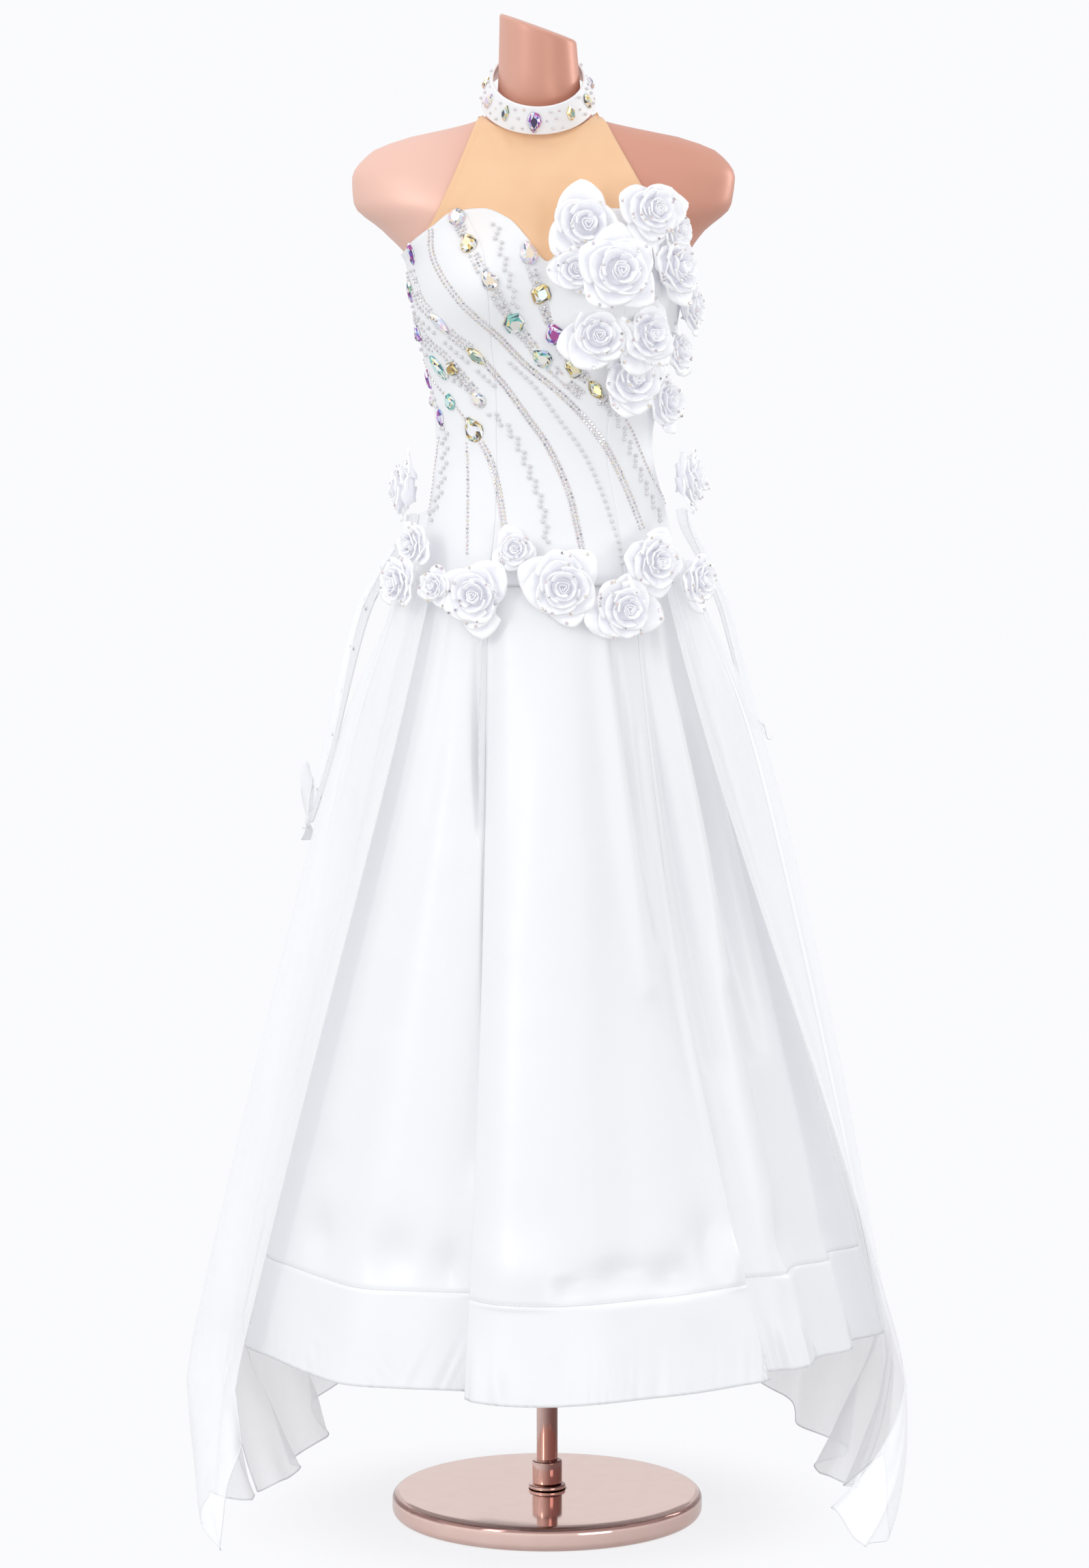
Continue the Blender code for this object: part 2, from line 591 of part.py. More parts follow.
def build_yoke(finish):
    def place(u, v):
        z = YOKE_MIDDLE_Z
        for _ in range(YOKE_TRIES):
            left, right = table_at(YOKE_EDGES, z, (1, 2))
            x = left + (right - left) * u
            z = yoke_foot(x) + (yoke_head(x) - yoke_foot(x)) * v
        return np.array((x, front_depth(x, z), z))

    grid = grid_of(place, np.linspace(0.0, 1.0, YOKE_COLUMNS + 1),
                   np.linspace(0.0, 1.0, YOKE_ROWS + 1))
    cloth_panel("yoke_front", finish, grid, YOKE_CLEAR, YOKE_CLEAR + MESH)


# ---------------------------------------------------------------- skirt
def cone(az, t):
    """Radius of the skirt's smooth cone at an angle, t from 0 at the waist to 1."""
    t = min(t, CONE_FOOT)
    a = math.radians(az)
    s, c = abs(math.sin(a)), abs(math.cos(a))
    half = [CONE_TOP[i] + (CONE_HEM[i] - CONE_TOP[i]) * t for i in range(4)]
    wide = half[1] if math.sin(a) > 0 else half[0]
    deep = half[2] if math.cos(a) > 0 else half[3]
    return wide * deep / math.sqrt((deep * s) ** 2 + (wide * c) ** 2)


def skirt_top(top_az):
    p, n = figure_frame(top_az, DROP_WAIST)
    return (p + n * CLOTH_CLEAR)[:2]


SKIRT_TOPS = [skirt_top(row[1]) for row in SKIRT_FOLDS]


def skirt_point(index, t):
    """On the satin: index runs along SKIRT_FOLDS, t from the waist to the hem."""
    count = len(SKIRT_FOLDS)
    z = DROP_WAIST - SEAM_GAP + (HEM - DROP_WAIST + SEAM_GAP) * t
    i = int(math.floor(index))
    near = []
    for k in (i - 1, i, i + 1, i + 2):
        name, top_az, hem_x, hem_y, bend = SKIRT_FOLDS[k % count]
        top = SKIRT_TOPS[k % count]
        near.append(top + (np.array((hem_x, hem_y)) - top) * t**bend)
    f = index - i
    p0, p1, p2, p3 = near
    xy = 0.5 * (2 * p1 + (p2 - p0) * f + (2 * p0 - 5 * p1 + 4 * p2 - p3) * f**2
                + (3 * p1 - p0 - 3 * p2 + p3) * f**3)
    return np.array((xy[0], xy[1], z))


def seam_step(index, t, side):
    """How far from a seam a gore stops, counted in folds."""
    name = SKIRT_FOLDS[index % len(SKIRT_FOLDS)][0]
    gap = TUCK_GAP if name.endswith("tuck") else VALLEY_GAP
    if "ridge" in name:
        gap = 0.5 * SEAM_GAP
    near = skirt_point(index + side * SEAM_PROBE, t)
    span = np.linalg.norm(near - skirt_point(index, t))
    return min(SEAM_STEP_LIMIT, SEAM_PROBE * gap / span)


def build_skirt(finish):
    names = [row[0] for row in SKIRT_FOLDS]
    for node, first, last in SKIRT_GORES:
        start, end = names.index(first), names.index(last)
        if end <= start:
            end += len(names)
        steps = (end - start) * SKIRT_STEPS

        def place(u, t):
            low = start + seam_step(start, t, 1.0)
            high = end - seam_step(end, t, -1.0)
            return skirt_point(low + (high - low) * u, t)

        grid = grid_of(place, np.linspace(0.0, 1.0, steps + 1), SKIRT_LEVELS[::-1])
        cloth_panel(node, finish, grid, 0.0, SATIN)


def skirt_reach(heading, t):
    """Largest radius of the satin near a direction, at a share of its length."""
    polar = []
    for (name, top_az, hem_x, hem_y, bend), top in zip(SKIRT_FOLDS, SKIRT_TOPS):
        xy = top + (np.array((hem_x, hem_y)) - top) * min(t, 1.0) ** bend
        polar.append((math.degrees(math.atan2(xy[0], -xy[1])), math.hypot(*xy)))
    polar.sort()
    angles = [p[0] for p in polar]
    radii = [p[1] for p in polar]
    reach = max(np.interp([heading - FLOAT_SPREAD, heading, heading + FLOAT_SPREAD],
                          angles, radii, period=360.0))
    for angle, radius in polar:
        if abs(angle - heading) < FLOAT_SPREAD:
            reach = max(reach, radius)
    return reach


# ---------------------------------------------------------------- floats
def float_point(rows, u, v, hem_z, start, drop, bend):
    """On a float: u from its front edge to its back edge, v from its top down.

    It starts close to the figure and stands off in full some way below its top.
    """
    values = [np.array(row) for row in rows]
    top_az, hem_az, tip_az, out_top, out_hem, out_tip, top_z, tip_z = spline(
        values, u * (len(rows) - 1))
    z = top_z + (tip_z - top_z) * v
    share = (top_z - hem_z) / (top_z - tip_z)
    if v < share:
        k = v / share
        swing = k * k * (3 - 2 * k) * 0.5 + k * 0.5
        az = top_az + (hem_az - top_az) * swing
        out = out_top + (out_hem - out_top) * k**bend
        full = 1.0 - math.exp(-((top_z - z) / drop) ** 2)
        out = start + (out - start) * full
    else:
        k = (v - share) / (1.0 - share)
        az = hem_az + (tip_az - hem_az) * k * k
        out = out_hem + (out_tip - out_hem) * k * k
    t = (DROP_WAIST - z) / (DROP_WAIST - HEM)
    radius = cone(az, max(t, 0.0)) + out
    if 0.0 < t <= FLOAT_FOOT:
        radius = max(radius, skirt_reach(az, t) + SATIN + FLOAT_CLEAR)
    a = math.radians(az)
    return np.array((radius * math.sin(a), -radius * math.cos(a), z))


def build_floats(finish):
    kinds = [(FLOATS, FLOAT_LEVELS, FLOAT_HEM_Z, 3, FLOAT_START, FLOAT_DROP),
             (WRIST_FLOATS, WRIST_LEVELS, WRIST_HEM_Z, 2, WRIST_START, WRIST_DROP)]
    for tables, levels, hem_z, steps, start, drop in kinds:
        for name, rows in tables.items():
            columns = (len(rows) - 1) * steps

            bend = FLOAT_BEND[name]

            def place(u, v):
                return float_point(rows, u, v, hem_z, start, drop, bend)

            grid = grid_of(place, np.linspace(0.0, 1.0, columns + 1), levels)
            if "left" in name:
                grid = grid[:, ::-1]
            cloth_panel(name, finish, grid[::-1], 0.0, CHIFFON)


# ---------------------------------------------------------------- roses
def rose_seats():
    """Every rose's name, middle, outward direction and radius."""
    seats = []
    for name, x, z, radius, az, lift in BUST_ROSES:
        middle = np.array((x, front_depth(x, z), z))
        a = math.radians(az)
        n = np.array((math.sin(a), -math.cos(a), ROSE_TILT))
        n /= np.linalg.norm(n)
        seats.append((name, middle + n * (CLOTH_CLEAR + CREPE + lift), n, radius))
    for name, az, z, radius, lift in HIP_ROSES:
        middle, n = figure_frame(az, z)
        n[2] *= 0.5
        n /= np.linalg.norm(n)
        seats.append((name, middle + n * (CLOTH_CLEAR + CREPE + lift), n, radius))
    return seats


def cloth_radius(heading, z):
    """Distance from the middle to the cloth's outside in a direction, at a height."""
    low, high = -180.0, 180.0
    for _ in range(18):
        az = 0.5 * (low + high)
        p = figure_point(az, z)
        if math.degrees(math.atan2(p[0], -p[1])) < heading:
            low = az
        else:
            high = az
    radius = math.hypot(p[0], p[1]) + CLOTH_CLEAR + CREPE
    if z < DROP_WAIST + 0.01:
        t = max(0.0, (DROP_WAIST - z) / (DROP_WAIST - HEM))
        radius = max(radius, cone(heading, t) + SATIN + ROSE_OFF_SATIN + ROSE_OFF_FOLDS * t)
    return radius


def lifted(p, margin):
    """A point moved level outwards until it is clear of the cloth."""
    heading = math.degrees(math.atan2(p[0], -p[1]))
    here = math.hypot(p[0], p[1])
    need = cloth_radius(heading, p[2]) + margin
    if here >= need:
        return p
    return np.array((p[0] * need / here, p[1] * need / here, p[2]))


def rose_vertex(middle, n, out, reach, rise, walls):
    """A rose's vertex, drawn in until it is on its own side of every wall."""
    while True:
        p = lifted(middle + out * reach, ROSE_CLEAR) + n * rise
        crossing = max([float((p - middle) @ d) - limit for d, limit in walls] + [0.0])
        if crossing <= 0.0 or reach < 0.003:
            return p
        reach *= 0.93


def build_roses(finish):
    seats = rose_seats()
    for i, (name, middle, n, radius) in enumerate(seats):
        right = np.cross((0.0, 0.0, 1.0), n)
        right /= np.linalg.norm(right)
        up = np.cross(n, right)
        walls = []
        for j, (_, other, _, reach) in enumerate(seats):
            apart = np.linalg.norm(other - middle)
            if j == i or apart > 1.2 * (radius + reach):
                continue
            # the plane between two roses, nearer to the smaller one
            limit = (apart**2 + radius**2 - reach**2) / (2 * apart) - SEAM_GAP
            walls.append(((other - middle) / apart, limit))
        points = [rose_vertex(middle, n, right, 0.0, 0.0, walls)]
        for k, (share, rise) in enumerate(ROSE_RINGS[1:-1]):
            for side in range(ROSE_SIDES):
                a = 2 * math.pi * side / ROSE_SIDES + i
                wave = 1.0 + ROSE_WAVE * math.cos(5 * a + 1.7 * k)
                out = right * math.cos(a) + up * math.sin(a)
                points.append(rose_vertex(middle, n, out, share * radius * wave,
                                          rise * radius, walls))
        points.append(rose_vertex(middle, n, right, 0.0, ROSE_RINGS[-1][1] * radius, walls))
        faces = []
        rings = len(ROSE_RINGS) - 2
        for s in range(ROSE_SIDES):
            d = (s + 1) % ROSE_SIDES
            faces.append((0, 1 + d, 1 + s))
            for r in range(rings - 1):
                a, b = 1 + r * ROSE_SIDES, 1 + (r + 1) * ROSE_SIDES
                faces.append((a + s, a + d, b + d, b + s))
            top = 1 + (rings - 1) * ROSE_SIDES
            faces.append((top + s, top + d, len(points) - 1))
        new_object(name, finish, points, faces)


# ---------------------------------------------------------------- materials, main
def make_finish(name):
    colour, metallic, roughness = FINISHES[name]
    finish = bpy.data.materials.new(name)
    finish.use_nodes = True
    shader = finish.node_tree.nodes["Principled BSDF"]
    shader.inputs["Base Color"].default_value = (*colour, 1.0)
    shader.inputs["Metallic"].default_value = metallic
    shader.inputs["Roughness"].default_value = roughness
    finish.diffuse_color = (*colour, 1.0)
    return finish


def main():
    for ob in list(bpy.data.objects):
        bpy.data.objects.remove(ob)
    finishes = {name: make_finish(name) for name in FINISHES}
    build_form(finishes["form_skin"], finishes["rose_gold"])
    build_bodice(finishes["crepe"])
    build_collar(finishes["satin"])
    build_yoke(finishes["nude_mesh"])
    build_skirt(finishes["satin"])
    build_floats(finishes["chiffon"])
    build_roses(finishes["rose_satin"])


main()
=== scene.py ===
"""Looks of the ballroom dance dress on its dress form: every piece at its fine shape,
with its cloth, stones and pearls. Metres, +Z up, the front looks along -Y."""
import math

import bmesh
import bpy
import numpy as np
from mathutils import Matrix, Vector


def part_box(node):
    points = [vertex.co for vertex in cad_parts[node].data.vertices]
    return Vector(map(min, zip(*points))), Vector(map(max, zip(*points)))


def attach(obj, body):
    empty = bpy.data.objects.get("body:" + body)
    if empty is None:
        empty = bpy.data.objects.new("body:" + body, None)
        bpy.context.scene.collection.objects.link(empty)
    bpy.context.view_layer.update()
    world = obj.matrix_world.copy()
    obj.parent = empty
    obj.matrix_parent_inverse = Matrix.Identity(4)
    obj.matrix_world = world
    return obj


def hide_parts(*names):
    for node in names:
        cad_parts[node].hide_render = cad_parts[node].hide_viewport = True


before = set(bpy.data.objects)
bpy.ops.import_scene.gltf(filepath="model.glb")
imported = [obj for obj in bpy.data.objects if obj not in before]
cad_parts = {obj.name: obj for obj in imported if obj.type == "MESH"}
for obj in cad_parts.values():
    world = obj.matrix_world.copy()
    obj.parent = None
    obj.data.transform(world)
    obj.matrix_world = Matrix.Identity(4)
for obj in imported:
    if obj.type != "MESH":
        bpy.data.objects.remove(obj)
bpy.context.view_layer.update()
ROOT = "root"

# ---------------------------------------------------------------- sizes of the cut
CLOTH_CLEAR = 0.0025       # bodice cloth off the form
CREPE, SATIN = 0.002, 0.0015
SEAM_GAP = 0.0003          # clear space between bodice and skirt
DROP_WAIST, HEM = 1.060, 0.195
SKIRT_LENGTH = DROP_WAIST - HEM
WAIST_RADIUS = 0.12
A_DEGREE = math.radians(WAIST_RADIUS)   # cloth for each degree round the waist
BAND_HEIGHT = 0.104        # deep stitched hem band of the satin skirt
PRINCESS_LEFT, PRINCESS_RIGHT = -24.0, 33.0
SIDE_LEFT, SIDE_RIGHT = -92.0, 92.0
BACK_TOP_SIDE, BACK_TOP_MIDDLE = 1.425, 1.355
PEARL = 0.0046             # across
RHINESTONE = 0.0033        # across

# level sections of the form: half width, depths to the front and the back,
# squareness of the oval, and the shift of its middle
FIGURE = [
    # z      half   front  back   oval  x_mid   y_mid
    (0.885, 0.128, 0.078, 0.092, 2.2, 0.0000, 0.000),
    (0.905, 0.148, 0.093, 0.108, 2.2, 0.0000, 0.000),
    (0.960, 0.153, 0.098, 0.116, 2.2, 0.0000, 0.000),
    (1.060, 0.144, 0.098, 0.112, 2.2, 0.0000, 0.000),
    (1.127, 0.130, 0.092, 0.100, 2.2, 0.0010, 0.000),
    (1.212, 0.116, 0.083, 0.084, 2.2, -0.0035, 0.000),
    (1.277, 0.123, 0.088, 0.084, 2.2, -0.0010, 0.000),
    (1.323, 0.136, 0.095, 0.089, 2.2, 0.0000, 0.000),
    (1.388, 0.147, 0.102, 0.095, 2.2, 0.0000, 0.000),
    (1.418, 0.154, 0.102, 0.098, 2.2, 0.0000, 0.000),
    (1.448, 0.177, 0.096, 0.099, 2.1, -0.0040, 0.000),
    (1.478, 0.209, 0.091, 0.099, 2.1, -0.0050, 0.000),
    (1.508, 0.212, 0.079, 0.096, 2.1, -0.0040, 0.000),
    (1.535, 0.193, 0.063, 0.088, 2.0, -0.0030, 0.000),
    (1.552, 0.150, 0.050, 0.077, 2.0, -0.0030, 0.000),
    (1.563, 0.098, 0.044, 0.066, 2.0, -0.0050, -0.001),
    (1.572, 0.065, 0.044, 0.058, 2.0, -0.0080, -0.003),
    (1.584, 0.051, 0.046, 0.051, 2.0, -0.0090, -0.006),
    (1.606, 0.0455, 0.048, 0.046, 2.0, -0.0090, -0.010),
    (1.650, 0.0430, 0.046, 0.044, 2.0, -0.0100, -0.016),
    (1.690, 0.0400, 0.044, 0.042, 2.0, -0.0105, -0.020),
]
BUST_X, BUST_Z = 0.074, 1.385
BUST_WIDE, BUST_TALL, BUST_DEEP = 0.050, 0.052, 0.034
FORM_BUST = 0.72
NECK_TOP, NECK_SLOPE_X, NECK_SLOPE_Y = 1.672, -0.36, 0.10

# upper edge of the bodice in front: distance from the middle, height
SWEETHEART = [
    (0.000, 1.413), (0.023, 1.438), (0.042, 1.459), (0.070, 1.470),
    (0.102, 1.467), (0.124, 1.452), (0.146, 1.437), (0.160, 1.425),
]
YOKE_EDGES = [
    # z      left    right
    (1.425, -0.138, 0.138),
    (1.442, -0.134, 0.134),
    (1.454, -0.127, 0.128),
    (1.490, -0.109, 0.106),
    (1.525, -0.094, 0.086),
    (1.560, -0.080, 0.067),
    (1.586, -0.069, 0.054),
]
COLLAR_MIDDLE, COLLAR_TILT = (-0.010, -0.014, 1.603), math.radians(34.0)
COLLAR_TOP = (0.0490, 0.0590, 0.0650)
COLLAR_FOOT = (0.0610, 0.0670, 0.0730)
COLLAR_HEIGHT, COLLAR_WALL = 0.030, 0.0025

# folds of the skirt all round: the angle where each leaves the drop waist, its place
# at the hem, and how late it swings out
SKIRT_FOLDS = [
    # name             top_az   hem_x   hem_y  bend
    ("back_valley",    -180.0,  0.000,  0.380, 1.0),
    ("back_ridge_1",   -165.0, -0.075,  0.424, 1.0),
    ("back_valley_1",  -150.0, -0.118,  0.366, 1.1),
    ("back_ridge_2",   -137.0, -0.205,  0.372, 1.0),
    ("back_valley_2",  -123.0, -0.228,  0.300, 1.1),
    ("back_ridge_3",   -111.0, -0.300,  0.268, 1.0),
    ("side_valley_1",   -99.0, -0.296,  0.198, 1.1),
    ("side_ridge_1",    -87.0, -0.345,  0.132, 1.0),
    ("side_valley_2",   -77.0, -0.326,  0.060, 1.0),
    ("side_ridge_2",    -67.0, -0.340, -0.008, 1.0),
    ("left_soft_1",     -58.0, -0.306, -0.072, 1.0),
    ("left_soft_2",     -49.0, -0.268, -0.140, 1.1),
    ("left_ridge",      -41.0, -0.222, -0.202, 1.1),
    ("left_flat_1",     -33.0, -0.162, -0.222, 1.2),
    ("left_flat_2",     -27.0, -0.108, -0.231, 1.3),
    ("left_tuck",       -23.5, -0.072, -0.243, 1.4),
    ("front_edge_left", -21.5, -0.086, -0.277, 1.4),
    ("front_1",         -14.0, -0.050, -0.305, 1.1),
    ("front_2",          -3.0,  0.004, -0.311, 1.0),
    ("front_3",           8.0,  0.055, -0.297, 1.0),
    ("front_4",          18.0,  0.105, -0.273, 1.1),
    ("front_5",          26.0,  0.158, -0.247, 1.2),
    ("front_6",          32.0,  0.207, -0.212, 1.35),
    ("front_edge_right", 36.0,  0.240, -0.184, 1.4),
    ("right_tuck",       38.5,  0.224, -0.150, 1.5),
    ("right_1",          42.5,  0.248, -0.137, 1.3),
    ("right_ridge_1",    49.0,  0.286, -0.118, 1.1),
    ("right_valley_1",   56.0,  0.303, -0.066, 1.2),
    ("right_ridge_2",    64.0,  0.340, -0.032, 1.0),
    ("right_valley_2",   72.0,  0.347,  0.020, 1.1),
    ("right_ridge_3",    80.0,  0.384,  0.062, 1.0),
    ("right_valley_3",   90.0,  0.356,  0.130, 1.1),
    ("side_ridge_3",    101.0,  0.366,  0.205, 1.0),
    ("back_valley_3",   113.0,  0.345,  0.242, 1.1),
    ("back_ridge_4",    125.0,  0.325,  0.325, 1.0),
    ("back_valley_4",   138.0,  0.236,  0.322, 1.1),
    ("back_ridge_5",    151.0,  0.180,  0.408, 1.0),
    ("back_valley_5",   166.0,  0.085,  0.362, 1.1),
]
FOLD_NAMES = [row[0] for row in SKIRT_FOLDS]
SKIRT_GORES = [
    # node                first and last fold
    ("skirt_back_left", "back_valley", "side_ridge_1"),
    ("skirt_front_left", "side_ridge_1", "left_tuck"),
    ("skirt_front", "left_tuck", "right_tuck"),
    ("skirt_front_right", "right_tuck", "right_valley_3"),
    ("skirt_back_right", "right_valley_3", "back_valley"),
]
# smooth cone of the skirt, without folds: half widths left and right, depths to the
# front and the back
CONE_TOP = (0.150, 0.150, 0.104, 0.118)
CONE_HEM = (0.338, 0.390, 0.300, 0.395)
CONE_FOOT = 1.04           # the cone stops widening a little below the hem

# each row of a float is one fold, from its front edge backwards
FLOATS = {
    "float_left": [
        # top_az, hem_az, tip_az, out_top, out_hem, out_tip, top_z, tip_z
        (-60.0, -78.0, -72.0, 0.012, 0.012, 0.020, 1.062, 0.105),
        (-67.0, -82.0, -59.5, 0.020, 0.028, 0.084, 1.070, 0.016),
        (-74.0, -86.0, -76.0, 0.036, 0.058, 0.046, 1.085, 0.036),
        (-81.0, -91.0, -83.0, 0.042, 0.063, 0.040, 1.085, 0.036),
        (-88.0, -97.0, -87.0, 0.028, 0.024, -0.008, 1.076, 0.020),
        (-95.0, -103.0, -94.0, 0.034, 0.040, -0.010, 1.074, 0.016),
    ],
    "float_left_back": [
        (-97.0, -105.0, -96.5, 0.030, 0.036, -0.016, 1.074, 0.018),
        (-105.0, -112.0, -106.0, 0.022, 0.016, -0.044, 1.080, 0.024),
        (-114.0, -121.0, -117.0, 0.032, 0.034, -0.030, 1.092, 0.032),
        (-124.0, -130.0, -127.0, 0.022, 0.018, -0.040, 1.100, 0.045),
        (-134.0, -139.0, -137.0, 0.030, 0.034, 0.026, 1.095, 0.065),
        (-144.0, -148.0, -146.0, 0.022, 0.020, 0.010, 1.090, 0.095),
    ],
    "float_right": [
        (61.0, 84.0, 62.0, 0.012, 0.010, -0.018, 1.062, 0.045),
        (66.0, 87.0, 60.0, 0.022, 0.006, 0.036, 1.072, 0.016),
        (73.0, 92.0, 74.0, 0.042, 0.004, 0.000, 1.085, 0.016),
        (81.0, 96.0, 88.0, 0.050, 0.004, -0.016, 1.085, 0.070),
        (89.0, 101.0, 94.0, 0.034, 0.000, -0.060, 1.076, 0.030),
        (96.0, 107.0, 99.0, 0.038, 0.022, -0.040, 1.074, 0.016),
    ],
    "float_right_back": [
        (98.0, 109.0, 101.5, 0.036, 0.022, -0.044, 1.074, 0.018),
        (106.0, 115.0, 110.0, 0.026, 0.010, -0.066, 1.080, 0.022),
        (115.0, 123.0, 120.0, 0.032, 0.036, 0.000, 1.092, 0.030),
        (125.0, 132.0, 129.0, 0.022, 0.020, -0.018, 1.100, 0.045),
        (135.0, 141.0, 139.0, 0.030, 0.034, 0.020, 1.095, 0.065),
        (145.0, 149.0, 148.0, 0.022, 0.020, 0.006, 1.090, 0.095),
    ],
}
WRIST_FLOATS = {
    "wrist_float_left": [
        (-94.0, -79.0, -84.0, 0.048, 0.054, 0.060, 1.134, 0.790),
        (-101.0, -88.0, -88.0, 0.058, 0.058, 0.062, 1.136, 0.785),
        (-108.0, -97.0, -91.0, 0.052, 0.052, 0.057, 1.134, 0.792),
    ],
    "wrist_float_right": [
        (92.0, 89.0, 89.0, 0.044, 0.038, 0.040, 1.140, 0.915),
        (98.0, 97.0, 96.0, 0.054, 0.046, 0.054, 1.142, 0.882),
        (107.0, 106.0, 103.0, 0.048, 0.042, 0.046, 1.140, 0.905),
    ],
}
FLOAT_HEM_Z, WRIST_HEM_Z = 0.22, 0.900     # heights at which hem_az and out_hem hold
FLOAT_START, FLOAT_DROP = 0.013, 0.12      # stand-off at the top, and where it is full
WRIST_START, WRIST_DROP = 0.006, 0.060
FLOAT_SPREAD = 8.0         # degrees of satin either side that hold a float off
FLOAT_OFF_SATIN = 0.006

ROSE_FULL = (1.24, 1.10)   # open petals beyond the rose's solid: on the bust, at the hip
BUST_ROSES = [
    # name            x       z      radius  az      lift
    ("rose_bust_01", 0.038, 1.450, 0.037, 10.0, 0.006),
    ("rose_bust_02", 0.104, 1.466, 0.033, 30.0, 0.010),
    ("rose_bust_03", 0.030, 1.402, 0.024, 4.0, 0.004),
    ("rose_bust_04", 0.070, 1.398, 0.039, 16.0, 0.010),
    ("rose_bust_05", 0.126, 1.404, 0.034, 55.0, 0.006),
    ("rose_bust_06", 0.053, 1.330, 0.034, 8.0, 0.005),
    ("rose_bust_07", 0.098, 1.331, 0.034, 35.0, 0.007),
    ("rose_bust_08", 0.132, 1.316, 0.025, 65.0, 0.003),
    ("rose_bust_09", 0.084, 1.283, 0.034, 28.0, 0.006),
    ("rose_bust_10", 0.118, 1.258, 0.028, 60.0, 0.005),
    ("rose_bust_11", 0.146, 1.366, 0.027, 75.0, 0.002),
    ("rose_bust_12", 0.128, 1.446, 0.026, 60.0, 0.003),
]
HIP_ROSES = [
    # name           az       z      radius  lift
    ("rose_hip_01", -12.5, 1.101, 0.024, 0.004),
    ("rose_hip_02", -27.0, 1.051, 0.038, 0.010),
    ("rose_hip_03", -46.0, 1.060, 0.021, 0.020),
    ("rose_hip_04", -62.0, 1.101, 0.026, 0.024),
    ("rose_hip_05", -65.0, 1.060, 0.029, 0.029),
    ("rose_hip_06", -90.0, 1.163, 0.035, 0.024),
    ("rose_hip_07", 5.0, 1.060, 0.041, 0.008),
    ("rose_hip_08", 30.0, 1.035, 0.038, 0.010),
    ("rose_hip_09", 45.0, 1.084, 0.036, 0.016),
    ("rose_hip_10", 66.0, 1.063, 0.030, 0.030),
    ("rose_hip_11", 84.0, 1.172, 0.037, 0.027),
    ("rose_hip_12", -138.0, 1.098, 0.036, 0.036),
    ("rose_hip_13", 142.0, 1.100, 0.036, 0.036),
    ("rose_hip_14", 180.0, 1.086, 0.040, 0.012),
]


# ---------------------------------------------------------------- curves and tables
def smooth_slopes(keys, values):
    slopes = np.zeros_like(values)
    before = (values[1:-1] - values[:-2]) / (keys[1:-1] - keys[:-2])
    after = (values[2:] - values[1:-1]) / (keys[2:] - keys[1:-1])
    same = before * after > 0.0
    mean = 2.0 * before * after / np.where(same, before + after, 1.0)
    slopes[1:-1] = np.where(same, mean, 0.0)
    return slopes


def table_at(table, key, column):
    """A column of a table at keys of any shape, smooth and never overshooting."""
    keys = np.array([row[0] for row in table])
    values = np.array([row[column] for row in table])
    slopes = smooth_slopes(keys, values)
    key = np.clip(key, keys[0], keys[-1])
    i = np.clip(np.searchsorted(keys, key) - 1, 0, len(keys) - 2)
    step = keys[i + 1] - keys[i]
    t = (key - keys[i]) / step
    low, high = slopes[i] * step, slopes[i + 1] * step
    return ((2 * t**3 - 3 * t**2 + 1) * values[i] + (t**3 - 2 * t**2 + t) * low
            + (3 * t**2 - 2 * t**3) * values[i + 1] + (t**3 - t**2) * high)


def catmull(p0, p1, p2, p3, t):
    return 0.5 * (2 * p1 + (p2 - p0) * t + (2 * p0 - 5 * p1 + 4 * p2 - p3) * t**2
                  + (3 * p1 - p0 - 3 * p2 + p3) * t**3)


def row_spline(rows, t):
    """Smooth values between the rows of a table; t counts rows."""
    rows = np.array(rows, dtype=float)
    rows = np.vstack([2 * rows[:1] - rows[1:2], rows, 2 * rows[-1:] - rows[-2:-1]])
    i = np.clip(np.floor(t).astype(int), 0, len(rows) - 4)
    f = (t - i)[..., None]
    return catmull(rows[i], rows[i + 1], rows[i + 2], rows[i + 3], f)


def along_curve(points, step):
    """Points at even steps along a smooth curve through a few points."""
    points = np.array(points, dtype=float)
    fine = row_spline(points, np.linspace(0, len(points) - 1, 60 * len(points)))
    run = np.concatenate([[0.0], np.cumsum(np.linalg.norm(np.diff(fine, axis=0), axis=1))])
    marks = np.linspace(0.0, run[-1], max(2, int(round(run[-1] / step)) + 1))
    return np.stack([np.interp(marks, run, fine[:, k]) for k in range(fine.shape[1])], axis=1)


def bump_at(distance, width):
    return np.exp(-((distance / width) ** 2))


def ease(t):
    t = np.clip(t, 0.0, 1.0)
    return t * t * (3 - 2 * t)


# ---------------------------------------------------------------- the figure
def bust(x, z):
    return BUST_DEEP * bump_at(np.abs(x) - BUST_X, BUST_WIDE) * bump_at(z - BUST_Z, BUST_TALL)


def figure_at(az, z, cups=1.0):
    """Place on the figure at angles from the front and heights, arrays of one shape."""
    az, z = np.broadcast_arrays(np.asarray(az, float), np.asarray(z, float))
    half, front, back, oval, x_mid, y_mid = [table_at(FIGURE, z, c) for c in range(1, 7)]
    s, c = np.sin(np.radians(az)), np.cos(np.radians(az))
    x = x_mid + half * np.sign(s) * np.abs(s) ** (2.0 / oval)
    depth = np.where(c > 0, front, back)
    y = y_mid - np.sign(c) * np.abs(c) ** (2.0 / oval) * depth
    y = y - np.where(c > 0, cups * bust(x, z) * np.minimum(1.0, 2.5 * np.abs(c)), 0.0)
    return np.stack([x, y, z], axis=-1)


def front_depth(x, z):
    half, front, oval, x_mid, y_mid = [table_at(FIGURE, z, c) for c in (1, 2, 4, 5, 6)]
    across = np.minimum(0.995, np.abs(x - x_mid) / half)
    return y_mid - front * (1.0 - across**oval) ** (1.0 / oval) - bust(x, z)


